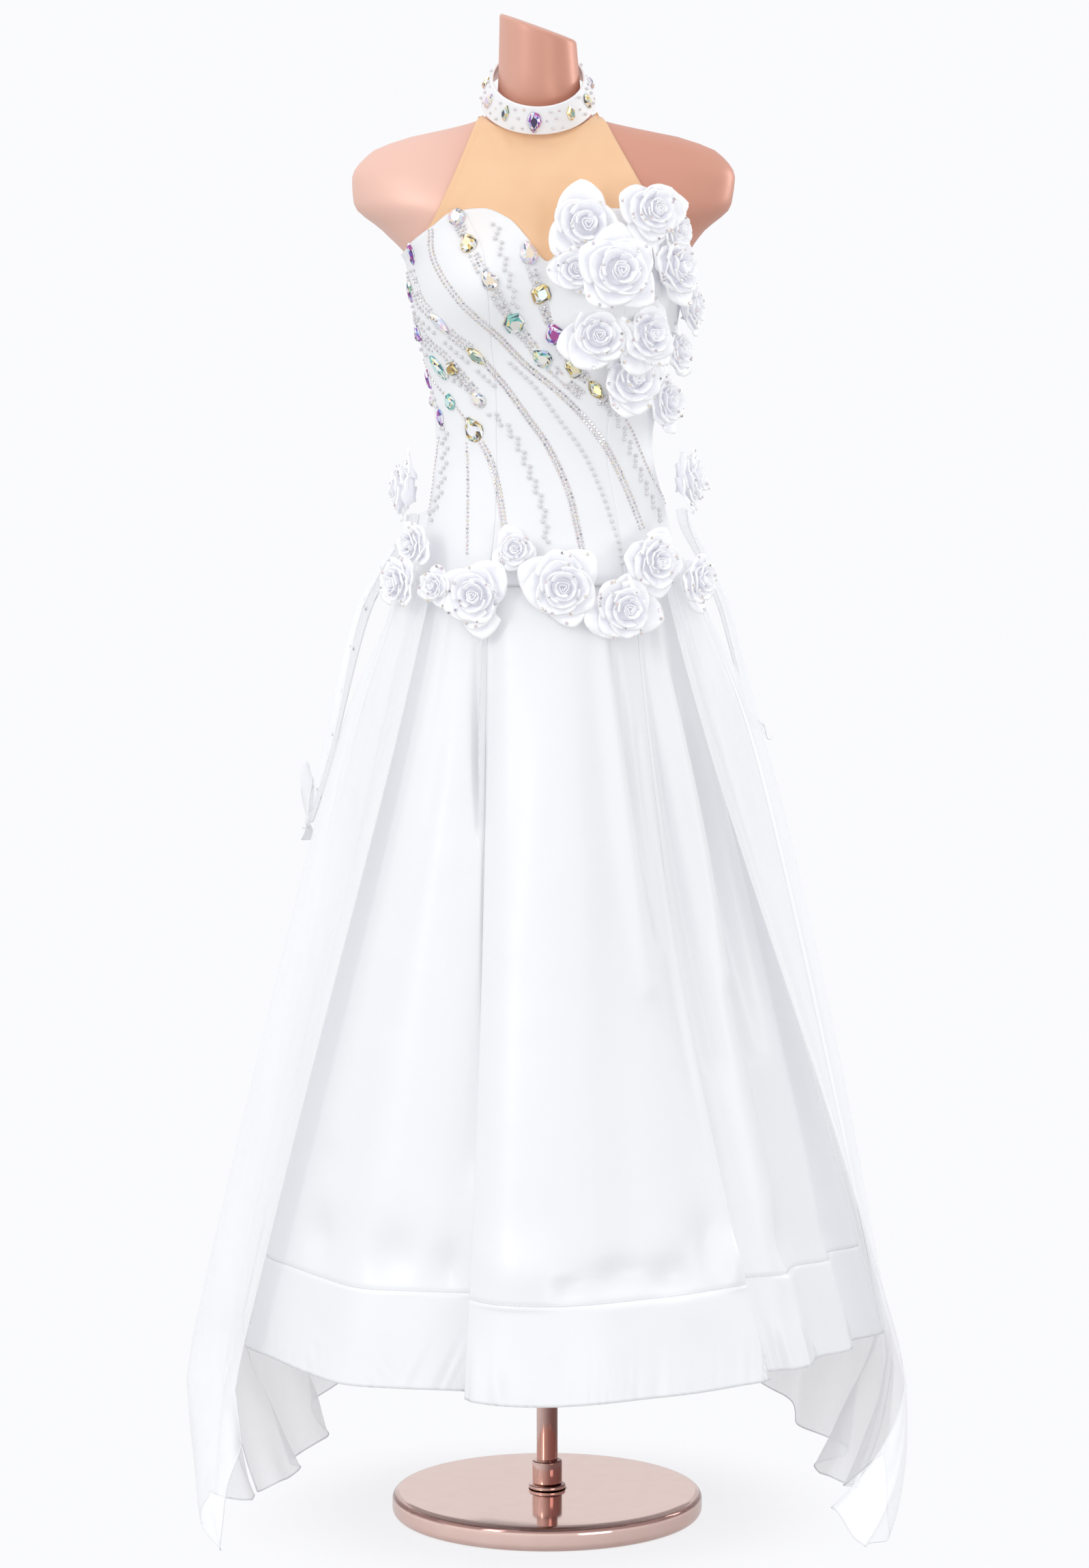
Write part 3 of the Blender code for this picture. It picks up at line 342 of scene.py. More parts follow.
def unit(v):
    return v / np.maximum(np.linalg.norm(v, axis=-1, keepdims=True), 1e-12)


def figure_frame(az, z):
    """Place on the figure, outward direction and the direction to the side."""
    along = unit(figure_at(az + 1.0, z) - figure_at(az - 1.0, z))
    up = figure_at(az, z + 0.004) - figure_at(az, z - 0.004)
    return figure_at(az, z), unit(np.cross(along, up)), along


def heading_of(x, z):
    """Angle from the front at which the figure has a place across, front side."""
    half, oval, x_mid = [table_at(FIGURE, z, c) for c in (1, 4, 5)]
    across = np.clip(np.abs(x - x_mid) / half, 0.0, 1.0)
    s = np.clip(across ** (oval / 2.0), 0.0, 0.9994)
    return np.degrees(np.arcsin(s)) * np.sign(x - x_mid)


def on_bodice(x, z, lift=0.0):
    """Place on the bodice's outside at a place across and a height, with its frame."""
    p, n, side = figure_frame(heading_of(x, z), z)
    return p + n * (CLOTH_CLEAR + CREPE + lift), n, side


def bodice_top(az):
    share = np.clip((np.abs(az) - 90.0) / 90.0, 0.0, 1.0)
    back = BACK_TOP_SIDE + (BACK_TOP_MIDDLE - BACK_TOP_SIDE) * ease(share)
    low = np.full_like(az, 1.38)
    high = np.full_like(az, 1.50)
    for _ in range(26):
        z = 0.5 * (low + high)
        edge = table_at(SWEETHEART, np.abs(figure_at(az, z)[..., 0]), 1)
        low = np.where(z < edge, z, low)
        high = np.where(z < edge, high, z)
    return np.where(np.abs(az) > 90.0, back, 0.5 * (low + high))


# ---------------------------------------------------------------- meshes
def add_object(name, points, faces, finish, smooth=True, sharp=None):
    mesh = bpy.data.meshes.new(name)
    mesh.from_pydata(np.asarray(points).reshape(-1, 3).tolist(), [], faces)
    mesh.materials.append(finish)
    if smooth:
        mesh.shade_smooth()
        if sharp is not None:
            mesh.set_sharp_from_angle(angle=math.radians(sharp))
    ob = bpy.data.objects.new(name, mesh)
    bpy.context.scene.collection.objects.link(ob)
    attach(ob, ROOT)
    return ob


def grid_faces(rows, cols, wrap=False, start=0):
    faces = []
    for r in range(rows - 1):
        for c in range(cols if wrap else cols - 1):
            d = (c + 1) % cols
            faces.append((start + r * cols + c, start + r * cols + d,
                          start + (r + 1) * cols + d, start + (r + 1) * cols + c))
    return faces


def grid_normals(grid):
    du = np.gradient(grid, axis=1)
    dv = np.gradient(grid, axis=0)
    return unit(np.cross(du, dv))


def cloth(name, grid, finish, thick, node=None, side=-1.0):
    """A cloth piece on a grid of points, thickened inwards, standing for its node."""
    rows, cols = grid.shape[:2]
    ob = add_object(name, grid, grid_faces(rows, cols), finish)
    if thick:
        wall = ob.modifiers.new("wall", "SOLIDIFY")
        wall.thickness = thick
        wall.offset = side
        wall.use_even_offset = False
    uv = ob.data.uv_layers.new(name="grain")
    loops = np.zeros(len(ob.data.loops), dtype=int)
    ob.data.loops.foreach_get("vertex_index", loops)
    length = np.concatenate([np.zeros((rows, 1)), np.cumsum(
        np.linalg.norm(np.diff(grid, axis=1), axis=2), axis=1)], axis=1)
    height = np.concatenate([np.zeros((1, cols)), np.cumsum(
        np.linalg.norm(np.diff(grid, axis=0), axis=2), axis=0)], axis=0)
    coords = np.stack([length.ravel()[loops], height.ravel()[loops]], axis=1)
    uv.data.foreach_set("uv", coords.ravel())
    if node:
        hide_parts(node)
    return ob


def cloth_area(grid):
    return float(np.linalg.norm(np.cross(grid[1:, :-1] - grid[:-1, :-1],
                                         grid[:-1, 1:] - grid[:-1, :-1]), axis=2).sum())


def tube(path, radius, sides):
    """Points and faces of a round thread or rolled hem along a path of points."""
    path = np.asarray(path, float)
    ahead = unit(np.gradient(path, axis=0))
    ref = np.tile(np.array((0.0, 0.0, 1.0)), (len(path), 1))
    flat = np.abs(ahead[:, 2]) > 0.9
    ref[flat] = (1.0, 0.0, 0.0)
    side = unit(np.cross(ahead, ref))
    up = np.cross(side, ahead)
    a = np.linspace(0, 2 * np.pi, sides, endpoint=False)
    ring = (side[:, None] * np.cos(a)[None, :, None] + up[:, None] * np.sin(a)[None, :, None])
    grid = path[:, None] + ring * radius
    faces = grid_faces(len(path), sides, wrap=True)
    faces.append(tuple(reversed(range(sides))))
    faces.append(tuple((len(path) - 1) * sides + k for k in range(sides)))
    return grid.reshape(-1, 3), faces


def joined(name, parts, finish):
    """One object from several (points, faces) lists."""
    points, faces = [], []
    for pts, fcs in parts:
        base = sum(len(p) for p in points)
        points.append(np.asarray(pts).reshape(-1, 3))
        faces += [tuple(base + i for i in f) for f in fcs]
    return add_object(name, np.vstack(points), faces, finish)


def scatter(name, shape, places, finish, smooth=False, tints=None):
    """Copies of a small shape, (points, faces), joined into one mesh.
    places: rows of middle, side, up, outward and scales along them."""
    pts, fcs = shape
    pts = np.asarray(pts)
    allp, allf = [], []
    for k, (mid, side, up, out, sx, sy, sz) in enumerate(places):
        allp.append(mid + pts[:, :1] * side * sx + pts[:, 1:2] * up * sy + pts[:, 2:] * out * sz)
        base = k * len(pts)
        allf += [tuple(base + i for i in f) for f in fcs]
    ob = add_object(name, np.vstack(allp), allf, finish, smooth)
    if tints is not None:
        paint_facets(ob, len(fcs), tints)
    return ob


# ---------------------------------------------------------------- shader language
class Value:
    """A number that varies over a surface; Python's operators add Math nodes."""

    def __init__(self, graph, socket):
        self.graph, self.socket = graph, socket

    def _math(self, operation, a, b=0.0):
        return self.graph.add("ShaderNodeMath", {"operation": operation}, {0: a, 1: b})

    def __add__(self, other):
        return self._math("ADD", self, other)

    def __sub__(self, other):
        return self._math("SUBTRACT", self, other)

    def __mul__(self, other):
        return self._math("MULTIPLY", self, other)

    def __pow__(self, other):
        return self._math("POWER", self, other)

    def __radd__(self, other):
        return self._math("ADD", other, self)

    def __rsub__(self, other):
        return self._math("SUBTRACT", other, self)

    def __rmul__(self, other):
        return self._math("MULTIPLY", other, self)

    def wave(self):
        return self._math("SINE", self)


class Graph:
    """The node tree of a finish, or of the world."""

    def __init__(self, name, kind=bpy.data.materials):
        self.finish = kind.new(name)
        self.finish.use_nodes = True
        self.tree = self.finish.node_tree

    def add(self, kind, settings=None, sockets=None, output=0):
        """A node: its settings first, then its sockets' values or links."""
        node = self.tree.nodes.new(kind)
        for key, value in (settings or {}).items():
            setattr(node, key, value)
        for key, value in (sockets or {}).items():
            self.join(node.inputs[key], value)
        return Value(self, node.outputs[output])

    def join(self, socket, value):
        if isinstance(value, Value):
            self.tree.links.new(value.socket, socket)
        else:
            socket.default_value = value

    def surface(self, **values):
        """Sockets of the Principled shader, by name with underscores."""
        shader = self.tree.nodes["Principled BSDF"]
        for key, value in values.items():
            self.join(shader.inputs[key.replace("_", " ")], value)

    def place(self, kind="Object"):
        return self.add("ShaderNodeTexCoord", {}, {}, kind)

    def noise(self, size, detail=2.0, where=None, rough=0.5, stretch=None):
        """Soft noise with features of a size in metres, from 0 to 1."""
        where = where or self.place()
        if stretch:
            where = self.add("ShaderNodeMapping", {}, {"Vector": where, "Scale": stretch})
        return self.add("ShaderNodeTexNoise", {}, {
            "Vector": where, "Scale": 1.0 / size, "Detail": detail, "Roughness": rough})

    def split(self, where):
        node = self.add("ShaderNodeSeparateXYZ", {}, {0: where}).socket.node
        return [Value(self, node.outputs[k]) for k in range(3)]

    def fade(self, value, start, end, low, high, kind="SMOOTHSTEP"):
        """From low where the value is at start to high where it is at end."""
        return self.add("ShaderNodeMapRange", {"interpolation_type": kind},
                        {0: value, 1: start, 2: end, 3: low, 4: high})

    def blend(self, share, low, high):
        return self.add("ShaderNodeMix", {"data_type": "RGBA"}, {0: share, 6: low, 7: high}, 2)

    def bump(self, height, strength, distance=0.001, under=None):
        sockets = {"Height": height, "Strength": strength, "Distance": distance}
        if under:
            sockets["Normal"] = under
        return self.add("ShaderNodeBump", {}, sockets)


def grain(graph):
    return graph.split(graph.add("ShaderNodeUVMap", {"uv_map": "grain"}))


def weave(graph, pitch, slant=0.0):
    """Threads crossing at a pitch in metres, from 0 to 1."""
    u, v, _ = grain(graph)
    turn = 2 * math.pi / pitch
    warp = ((u + v * slant) * turn).wave()
    weft = ((v - u * slant) * turn).wave()
    return (warp * weft) * 0.5 + 0.5


def make_crepe():
    g = Graph("crepe")
    pebble = g.noise(0.0009, 3.0)
    drift = g.noise(0.06, 2.0)
    colour = g.blend(drift, (0.925, 0.93, 0.945, 1), (0.95, 0.955, 0.965, 1))
    height = pebble * 0.7 + weave(g, 0.0009) * 0.3
    # a faint peach tint at the left cup's upper edge; whether it is lining or light
    # from the yoke isn't known
    away = g.add("ShaderNodeVectorMath", {"operation": "DISTANCE"},
                 {0: g.place(), 1: (-0.085, -0.13, 1.462)}, "Value")
    warm = g.fade(away, 0.012, 0.058, 0.30, 0.0)
    colour = g.blend(warm, colour, (0.95, 0.72, 0.58, 1))
    g.surface(Base_Color=colour, Roughness=0.62 + pebble * 0.12,
              Normal=g.bump(height, 0.16, 0.0003), Sheen_Weight=0.12, Sheen_Roughness=0.5)
    return g.finish


def make_satin(name, low, high, rough, streak):
    """Warp-faced satin: long floats along the grain, soft uneven gloss."""
    g = Graph(name)
    u, v, _ = grain(g)
    uv = g.add("ShaderNodeCombineXYZ", {}, {0: u, 1: v * 0.06})
    threads = g.noise(0.0007, 2.0, uv)
    ripple = g.noise(0.045, 3.0)
    drift = g.noise(0.16, 2.0)
    colour = g.blend(drift, low, high)
    under = g.bump(ripple, streak, 0.004)
    g.surface(Base_Color=colour, Roughness=rough + ripple * 0.10 + threads * 0.06,
              Normal=g.bump(threads, 0.10, 0.0002, under),
              Specular_IOR_Level=0.55, Sheen_Weight=0.10, Sheen_Roughness=0.35)
    return g.finish


CHIFFON_GLOW, ROSE_GLOW = 0.08, 0.13    # stand in for light let through thin cloth


def make_chiffon():
    g = Graph("chiffon")
    net = weave(g, 0.0011)
    drift = g.noise(0.05, 3.0, stretch=(1.0, 1.0, 0.25))
    colour = g.blend(drift, (0.93, 0.935, 0.955, 1), (0.965, 0.97, 0.985, 1))
    g.surface(Emission_Color=colour, Emission_Strength=CHIFFON_GLOW,
              Base_Color=colour, Roughness=0.7, Alpha=0.56 + drift * 0.16 - net * 0.06,
              Normal=g.bump(net * 0.4 + drift, 0.15, 0.0006), Specular_IOR_Level=0.2,
              Sheen_Weight=0.15)
    return g.finish


def make_rose_satin():
    g = Graph("rose_satin")
    # painted shade: the shade attribute makes the ribbon darker at its roots and in its creases,
    # paler at its lips
    deep = g.add("ShaderNodeAttribute", {"attribute_name": "shade"}, {}, "Fac")
    ripple = g.noise(0.009, 3.0)
    threads = g.noise(0.0008, 1.0, stretch=(1.0, 1.0, 0.15))
    colour = g.blend(deep, (0.80, 0.80, 0.86, 1), (0.97, 0.972, 0.98, 1))
    under = g.bump(ripple, 0.40, 0.0016)
    g.surface(Emission_Color=colour, Emission_Strength=ROSE_GLOW,
              Base_Color=colour, Roughness=0.30 + ripple * 0.14,
              Normal=g.bump(threads, 0.08, 0.0002, under), Specular_IOR_Level=0.6,
              Sheen_Weight=0.08)
    return g.finish


def make_nude_mesh():
    g = Graph("nude_mesh")
    net = weave(g, 0.0008, 0.5)
    drift = g.noise(0.05, 3.0)
    colour = g.blend(drift, (0.90, 0.56, 0.32, 1), (0.96, 0.64, 0.39, 1))
    colour = g.blend(net * 0.10, colour, (0.72, 0.42, 0.24, 1))
    g.surface(Base_Color=colour, Roughness=0.66 + net * 0.1,
              Normal=g.bump(net + drift * 2.0, 0.16, 0.0003), Sheen_Weight=0.15)
    return g.finish


def make_form_skin():
    g = Graph("form_skin")
    mottle = g.noise(0.09, 4.0)
    fine = g.noise(0.0016, 2.0)
    # painted light, not a real change of lacquer: paler towards -X, the brighter side
    x, _, _ = g.split(g.place())
    side = g.fade(x, -0.16, 0.03, 1.0, 0.0)
    colour = g.blend(mottle, (0.64, 0.29, 0.205, 1), (0.72, 0.35, 0.255, 1))
    colour = g.blend(side, colour, (0.88, 0.56, 0.46, 1))
    g.surface(Base_Color=colour, Roughness=0.38 + mottle * 0.05, Metallic=0.20,
              Normal=g.bump(fine, 0.03, 0.0003), Specular_IOR_Level=0.5)
    return g.finish


def make_rose_gold():
    g = Graph("rose_gold")
    wear = g.noise(0.02, 4.0)
    brushed = g.noise(0.0012, 2.0, stretch=(1.0, 1.0, 8.0))
    colour = g.blend(wear, (0.86, 0.60, 0.53, 1), (0.93, 0.70, 0.63, 1))
    # painted reflections, not a real change of plating: dark where a rim turns over
    _, _, level = g.split(g.add("ShaderNodeNewGeometry", {}, {}, "Normal"))
    rolled = g.fade((level - 0.55) * (level - 0.55), 0.0, 0.09, 0.8, 0.0)
    colour = g.blend(rolled, colour, (0.22, 0.09, 0.08, 1))
    # and darker round the rod towards +X
    x, y, _ = g.split(g.place())
    rod = g.fade((x * x + y * y) ** 0.5, 0.020, 0.024, 1.0, 0.0, "LINEAR")
    dark = g.fade(x, -0.013, 0.006, 0.15, 0.92)
    colour = g.blend(rod * dark, colour, (0.20, 0.07, 0.06, 1))
    g.surface(Base_Color=colour, Metallic=1.0, Roughness=0.06 + wear * 0.05,
              Normal=g.bump(brushed, 0.02, 0.0002))
    return g.finish


def make_crystal():
    g = Graph("aurora_crystal")
    # painted reflections: each facet's fixed tint, white glint or dark facet comes from the tint
    # attribute; the tints are also the coats' own colours
    tint = g.add("ShaderNodeAttribute", {"attribute_name": "tint"}, {}, "Color")
    speck = g.noise(0.003, 1.0)
    g.surface(Base_Color=tint, Roughness=0.05 + speck * 0.08, Metallic=0.55,
              Specular_IOR_Level=0.9, Coat_Weight=1.0, Coat_Roughness=0.03)
    return g.finish


def make_pearl():
    g = Graph("pearl")
    cloud = g.noise(0.012, 2.0)
    colour = g.blend(cloud, (0.70, 0.69, 0.71, 1), (0.82, 0.81, 0.81, 1))
    g.surface(Base_Color=colour, Roughness=0.16 + cloud * 0.08, Coat_Weight=0.8,
              Coat_Roughness=0.12, Specular_IOR_Level=0.6)
    return g.finish


def make_thread():
    g = Graph("thread")
    twist = g.noise(0.0006, 1.0)
    colour = g.blend(twist, (0.88, 0.885, 0.91, 1), (0.95, 0.955, 0.965, 1))
    g.surface(Base_Color=colour, Roughness=0.7)
    return g.finish


def make_floor():
    """Pale floor that fades out around the stand."""
    g = Graph("studio_floor")
    drift = g.noise(1.2, 2.0)
    colour = g.blend(drift, (0.95, 0.953, 0.965, 1), (0.965, 0.968, 0.98, 1))
    x, y, _ = g.split(g.place())
    away = (x * x + y * y) ** 0.5
    g.surface(Base_Color=colour, Roughness=0.9, Specular_IOR_Level=0.1,
              Alpha=g.fade(away, 0.17, 0.40, 0.20, 0.0))
    return g.finish


FINISH = {
    "crepe": make_crepe(),
    "collar_satin": make_satin("collar_satin", (0.92, 0.92, 0.935, 1), (0.95, 0.95, 0.96, 1),
                               0.42, 0.10),
    "skirt_satin": make_satin("skirt_satin", (0.90, 0.905, 0.925, 1), (0.935, 0.94, 0.955, 1),
                              0.27, 0.22),
    "chiffon": make_chiffon(),
    "rose_satin": make_rose_satin(),
    "nude_mesh": make_nude_mesh(),
    "form_skin": make_form_skin(),
    "rose_gold": make_rose_gold(),
    "crystal": make_crystal(),
    "pearl": make_pearl(),
    "thread": make_thread(),
    "floor": make_floor(),
}

# ---------------------------------------------------------------- form and stand
SPREAD = np.linspace(0, 360, 109)[:-1]
FORM_FOOT, FORM_ROUND = 0.905, 0.019       # where the torso's rounded foot ends, its height
FORM_FOOT_STEPS = 5
NECK_FOOT, NECK_HEAD = 1.615, 1.660
NECK_MIDDLE = (-0.0105, -0.017, NECK_TOP)
NECK_INSET, NECK_ROUND = 0.0036, 0.0035


def build_form():
    heights = np.concatenate([np.linspace(FORM_FOOT, 1.56, 90),
                              np.linspace(1.563, NECK_FOOT, 14)])
    rings = []
    for k in range(FORM_FOOT_STEPS):
        a = math.radians(90 * k / FORM_FOOT_STEPS)
        ring = figure_at(SPREAD, FORM_FOOT, FORM_BUST)
        middle = np.array((0.0, 0.004, 0.0))
        ring = middle + (ring - middle) * (1 - 0.16 * math.cos(a))
        ring[:, 2] = FORM_FOOT - FORM_ROUND + FORM_ROUND * math.sin(a)
        rings.append(ring)
    rings += [figure_at(SPREAD, z, FORM_BUST) for z in heights]
    foot = figure_at(SPREAD, NECK_FOOT)
    top = figure_at(SPREAD, NECK_HEAD)
    heart = np.array(NECK_MIDDLE)

    def slanted(points):
        out = points.copy()
        out[:, 2] = (NECK_TOP + NECK_SLOPE_X * (points[:, 0] - heart[0])
                     + NECK_SLOPE_Y * (points[:, 1] - heart[1]))
        return out

    top = slanted(top)
    reach = top - foot
    length = np.linalg.norm(reach, axis=1, keepdims=True)
    for share in np.linspace(0.1, 1.0, 9):
        rings.append(foot + reach * share * (1 - NECK_INSET / length))
    rim = rings[-1]
    for a in np.radians((20, 40, 60, 80, 90)):
        inward = unit(heart - top) * NECK_ROUND * (1 - math.cos(a))
        rise = unit(reach) * NECK_ROUND * math.sin(a)
        rings.append(rim + inward + rise)
    last = rings[-1]
    middle = last.mean(axis=0)
    for share in (0.7, 0.35):
        rings.append(middle + (last - middle) * share)
    grid = np.array(rings)
    rows, cols = grid.shape[:2]
    faces = grid_faces(rows, cols, wrap=True)
    points = np.vstack([grid.reshape(-1, 3), [middle], [rings[0].mean(axis=0)]])
    tip, foot_mid = rows * cols, rows * cols + 1
    for c in range(cols):
        d = (c + 1) % cols
        faces.append(((rows - 1) * cols + c, (rows - 1) * cols + d, tip))
        faces.append((d, c, foot_mid))
    ob = add_object("dress_form", points, faces, FINISH["form_skin"], sharp=60)
    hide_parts("form_torso")


def lathe(name, profile, node, sides=128):
    """A metal piece turned about the stand's middle, profile from foot to top."""
    a = np.linspace(0, 2 * np.pi, sides, endpoint=False)
    rings = [[(r * math.cos(t), r * math.sin(t), z) for t in a] for r, z in profile]
    faces = grid_faces(len(profile), sides, wrap=True)
    ends = [tuple(reversed(range(sides)))]
    ends.append(tuple((len(profile) - 1) * sides + k for k in range(sides)))
    ob = add_object(name, np.array(rings), faces + ends, FINISH["rose_gold"], sharp=35)
    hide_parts(node)


def rounded(radius, low, high, edge, steps=6):
    """Half profile of a disc with rounded rims."""
    out = []
    for k in range(steps + 1):
        a = math.radians(90.0 * k / steps)
        out.append((radius - edge * (1 - math.sin(a)), low + edge * (1 - math.cos(a))))
    for k in range(steps + 1):
        a = math.radians(90.0 * k / steps)
        out.append((radius - edge * (1 - math.cos(a)), high - edge * (1 - math.sin(a))))
    return out


PLATE_ROUND, PLATE_CROWN = 0.0095, 0.0008
SOCKET_FLANGE, FLANGE_HEIGHT = 0.004, 0.005
ROD_BORE = 0.0124


def build_stand():
    lo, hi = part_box("stand_base")
    radius = 0.5 * (hi[0] - lo[0])
    base = rounded(radius, 0.0, hi[2] - PLATE_CROWN, PLATE_ROUND, 10)
    # a shallow crown on the plate, so that its gloss runs
    base += [(radius * k, hi[2] - PLATE_CROWN * k**2) for k in (0.93, 0.8, 0.6, 0.4, 0.2, 0.1)]
    lathe("base_plate", base, "stand_base", 192)
    lo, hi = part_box("stand_socket")
    radius = 0.5 * (hi[0] - lo[0])
    sleeve = [(radius + SOCKET_FLANGE, lo[2])]
    sleeve += rounded(radius + SOCKET_FLANGE, lo[2], lo[2] + FLANGE_HEIGHT, 0.0015, 3)
    sleeve += rounded(radius, lo[2] + FLANGE_HEIGHT + 0.0005, hi[2], 0.002, 4)
    sleeve += [(ROD_BORE, hi[2])]
    lathe("rod_socket", sleeve, "stand_socket", 64)
    lo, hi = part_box("stand_rod")
    radius = 0.5 * (hi[0] - lo[0])
    lathe("rod", rounded(radius, lo[2], hi[2], 0.0006, 3), "stand_rod", 64)


# ---------------------------------------------------------------- bodice
def crease(grid_a, grid_b, scale_a, scale_b, rows):
    """Soft troughs and ridges: each row a0, b0, a1, b1, width, depth in metres."""
    total = np.zeros_like(grid_a)
    for a0, b0, a1, b1, width, depth in rows:
        px, py = (grid_a - a0) * scale_a, (grid_b - b0) * scale_b
        dx, dy = (a1 - a0) * scale_a, (b1 - b0) * scale_b
        along = np.clip((px * dx + py * dy) / (dx * dx + dy * dy), 0.0, 1.0)
        away = np.hypot(px - along * dx, py - along * dy)
        fade = 0.35 + 0.65 * np.sin(np.pi * np.clip(along, 0.04, 0.96))
        total += depth * fade * bump_at(away, width)
    return total


def edge_spaced(low, high, count):
    """Columns that crowd towards both edges of a panel."""
    t = np.linspace(0.0, 1.0, count)
    return low + (high - low) * (t - 0.12 * np.sin(2 * np.pi * t))


BODICE_PANELS = [
    # node                 start           end              columns  flat width and length
    ("bodice_front", PRINCESS_LEFT, PRINCESS_RIGHT, 84, (0.170, 0.415)),
    ("bodice_front_right", PRINCESS_RIGHT, SIDE_RIGHT, 56, (0.150, 0.415)),
    ("bodice_back_right", SIDE_RIGHT, 180.0, 56, (0.175, 0.370)),
    ("bodice_back_left", -180.0, SIDE_LEFT, 56, (0.175, 0.370)),
    ("bodice_front_left", SIDE_LEFT, PRINCESS_LEFT, 64, (0.170, 0.415)),
]
SEAM_LAP = 0.0007
DRAG_DEGREE = 0.0021       # length for each degree by which the drags are measured
# faint drags in the crepe: angle, height to angle, height, width, depth
BODICE_DRAGS = [
    (-60.0, 1.20, -20.0, 1.235, 0.010, 0.0010),
    (-80.0, 1.225, -45.0, 1.205, 0.008, -0.0008),
    (20.0, 1.10, 55.0, 1.13, 0.012, 0.0010),
    (-50.0, 1.09, -10.0, 1.075, 0.010, -0.0008),
    (60.0, 1.235, 85.0, 1.215, 0.008, 0.0010),
    (120.0, 1.215, 170.0, 1.24, 0.009, -0.0012),
    (-170.0, 1.19, -120.0, 1.22, 0.009, 0.0012),
]


def build_bodice():
    for name, start, end, columns, flat in BODICE_PANELS:
        lap = SEAM_LAP / A_DEGREE
        az, v = np.meshgrid(edge_spaced(start - lap, end, columns),
                            np.linspace(0.0, 1.0, 104))
        foot = DROP_WAIST + SEAM_GAP
        z = foot + (bodice_top(az) - foot) * v
        grid = figure_at(az, z)
        n = grid_normals(grid)
        from_seam = np.minimum(np.abs(az - start), np.abs(end - az)) * A_DEGREE
        # each panel's first edge is lapped under the panel before it
        lift = CLOTH_CLEAR + CREPE - 0.0003 * bump_at(from_seam, 0.0016)
        lift = lift - 0.0009 * bump_at((az - start + lap) * A_DEGREE, 0.0014)
        lift = lift + crease(az, z, DRAG_DEGREE, 1.0, BODICE_DRAGS)
        # the turned top edge is a shade thicker
        lift = lift + 0.0005 * bump_at((1 - v) * 0.4, 0.004)
        ob = cloth(name + "_cloth", grid + n * lift[..., None], FINISH["crepe"],
                   CREPE, name)


YOKE_TUCK = 0.006          # the yoke's foot inside the sweetheart edge
YOKE_HEAD_Z, YOKE_HEAD_CLIMB = 1.553, 0.034
YOKE_HEAD_HALF, YOKE_HEAD_ROUND = 0.064, 0.95
YOKE_MIDDLE_Z, YOKE_TRIES = 1.44, 10
YOKE_EDGE = 0.0062         # folded and stitched side edges
# pull lines under the collar: from and to, width, height
YOKE_PULLS = [
    (-0.055, 1.555, -0.040, 1.532, 0.006, 0.0016),
    (-0.020, 1.545, 0.020, 1.540, 0.005, -0.0012),
    (0.045, 1.556, 0.030, 1.530, 0.006, 0.0016),
    (-0.110, 1.46, -0.085, 1.50, 0.007, 0.0010),
    (0.0, 1.43, 0.0, 1.47, 0.010, -0.0014),
]


def build_yoke():
    u, v = np.meshgrid(np.linspace(0.0, 1.0, 90), np.linspace(0.0, 1.0, 72))
    z = np.full_like(u, YOKE_MIDDLE_Z)
    for _ in range(YOKE_TRIES):
        left, right = table_at(YOKE_EDGES, z, 1), table_at(YOKE_EDGES, z, 2)
        x = left + (right - left) * u
        foot = table_at(SWEETHEART, np.abs(x), 1) - YOKE_TUCK
        across = np.minimum(1.0, np.abs(x - COLLAR_MIDDLE[0]) / YOKE_HEAD_HALF)
        climb = 1.0 - np.sqrt(1.0 - YOKE_HEAD_ROUND * across**2)
        head = YOKE_HEAD_Z + YOKE_HEAD_CLIMB * climb
        z = foot + (head - foot) * v
    grid = np.stack([x, front_depth(x, z), z], axis=-1)
    n = grid_normals(grid)
    from_edge = np.minimum(u, 1 - u) * (right - left)
    lift = 0.0022 + 0.0007 * ease((YOKE_EDGE - from_edge) / 0.001)
    lift = lift - 0.0004 * bump_at(from_edge - YOKE_EDGE + 0.001, 0.0006)
    lift = lift + crease(x, z, 1.0, 1.0, YOKE_PULLS)
    ob = cloth("yoke_mesh", grid + n * lift[..., None], FINISH["nude_mesh"], 0.0008,
               "yoke_front")


def collar_at(az, v, out):
    half, front, back = [a + (b - a) * v + out for a, b in zip(COLLAR_FOOT, COLLAR_TOP)]
    a = np.radians(az)
    x = half * np.sin(a)
    y = -np.cos(a)
    y = np.where(y < 0, y * front, y * back)
    z = COLLAR_HEIGHT * (v - 0.5)
    c, s = math.cos(COLLAR_TILT), math.sin(COLLAR_TILT)
    return np.stack([COLLAR_MIDDLE[0] + x, COLLAR_MIDDLE[1] + y * c - z * s,
                     COLLAR_MIDDLE[2] + y * s + z * c], axis=-1)


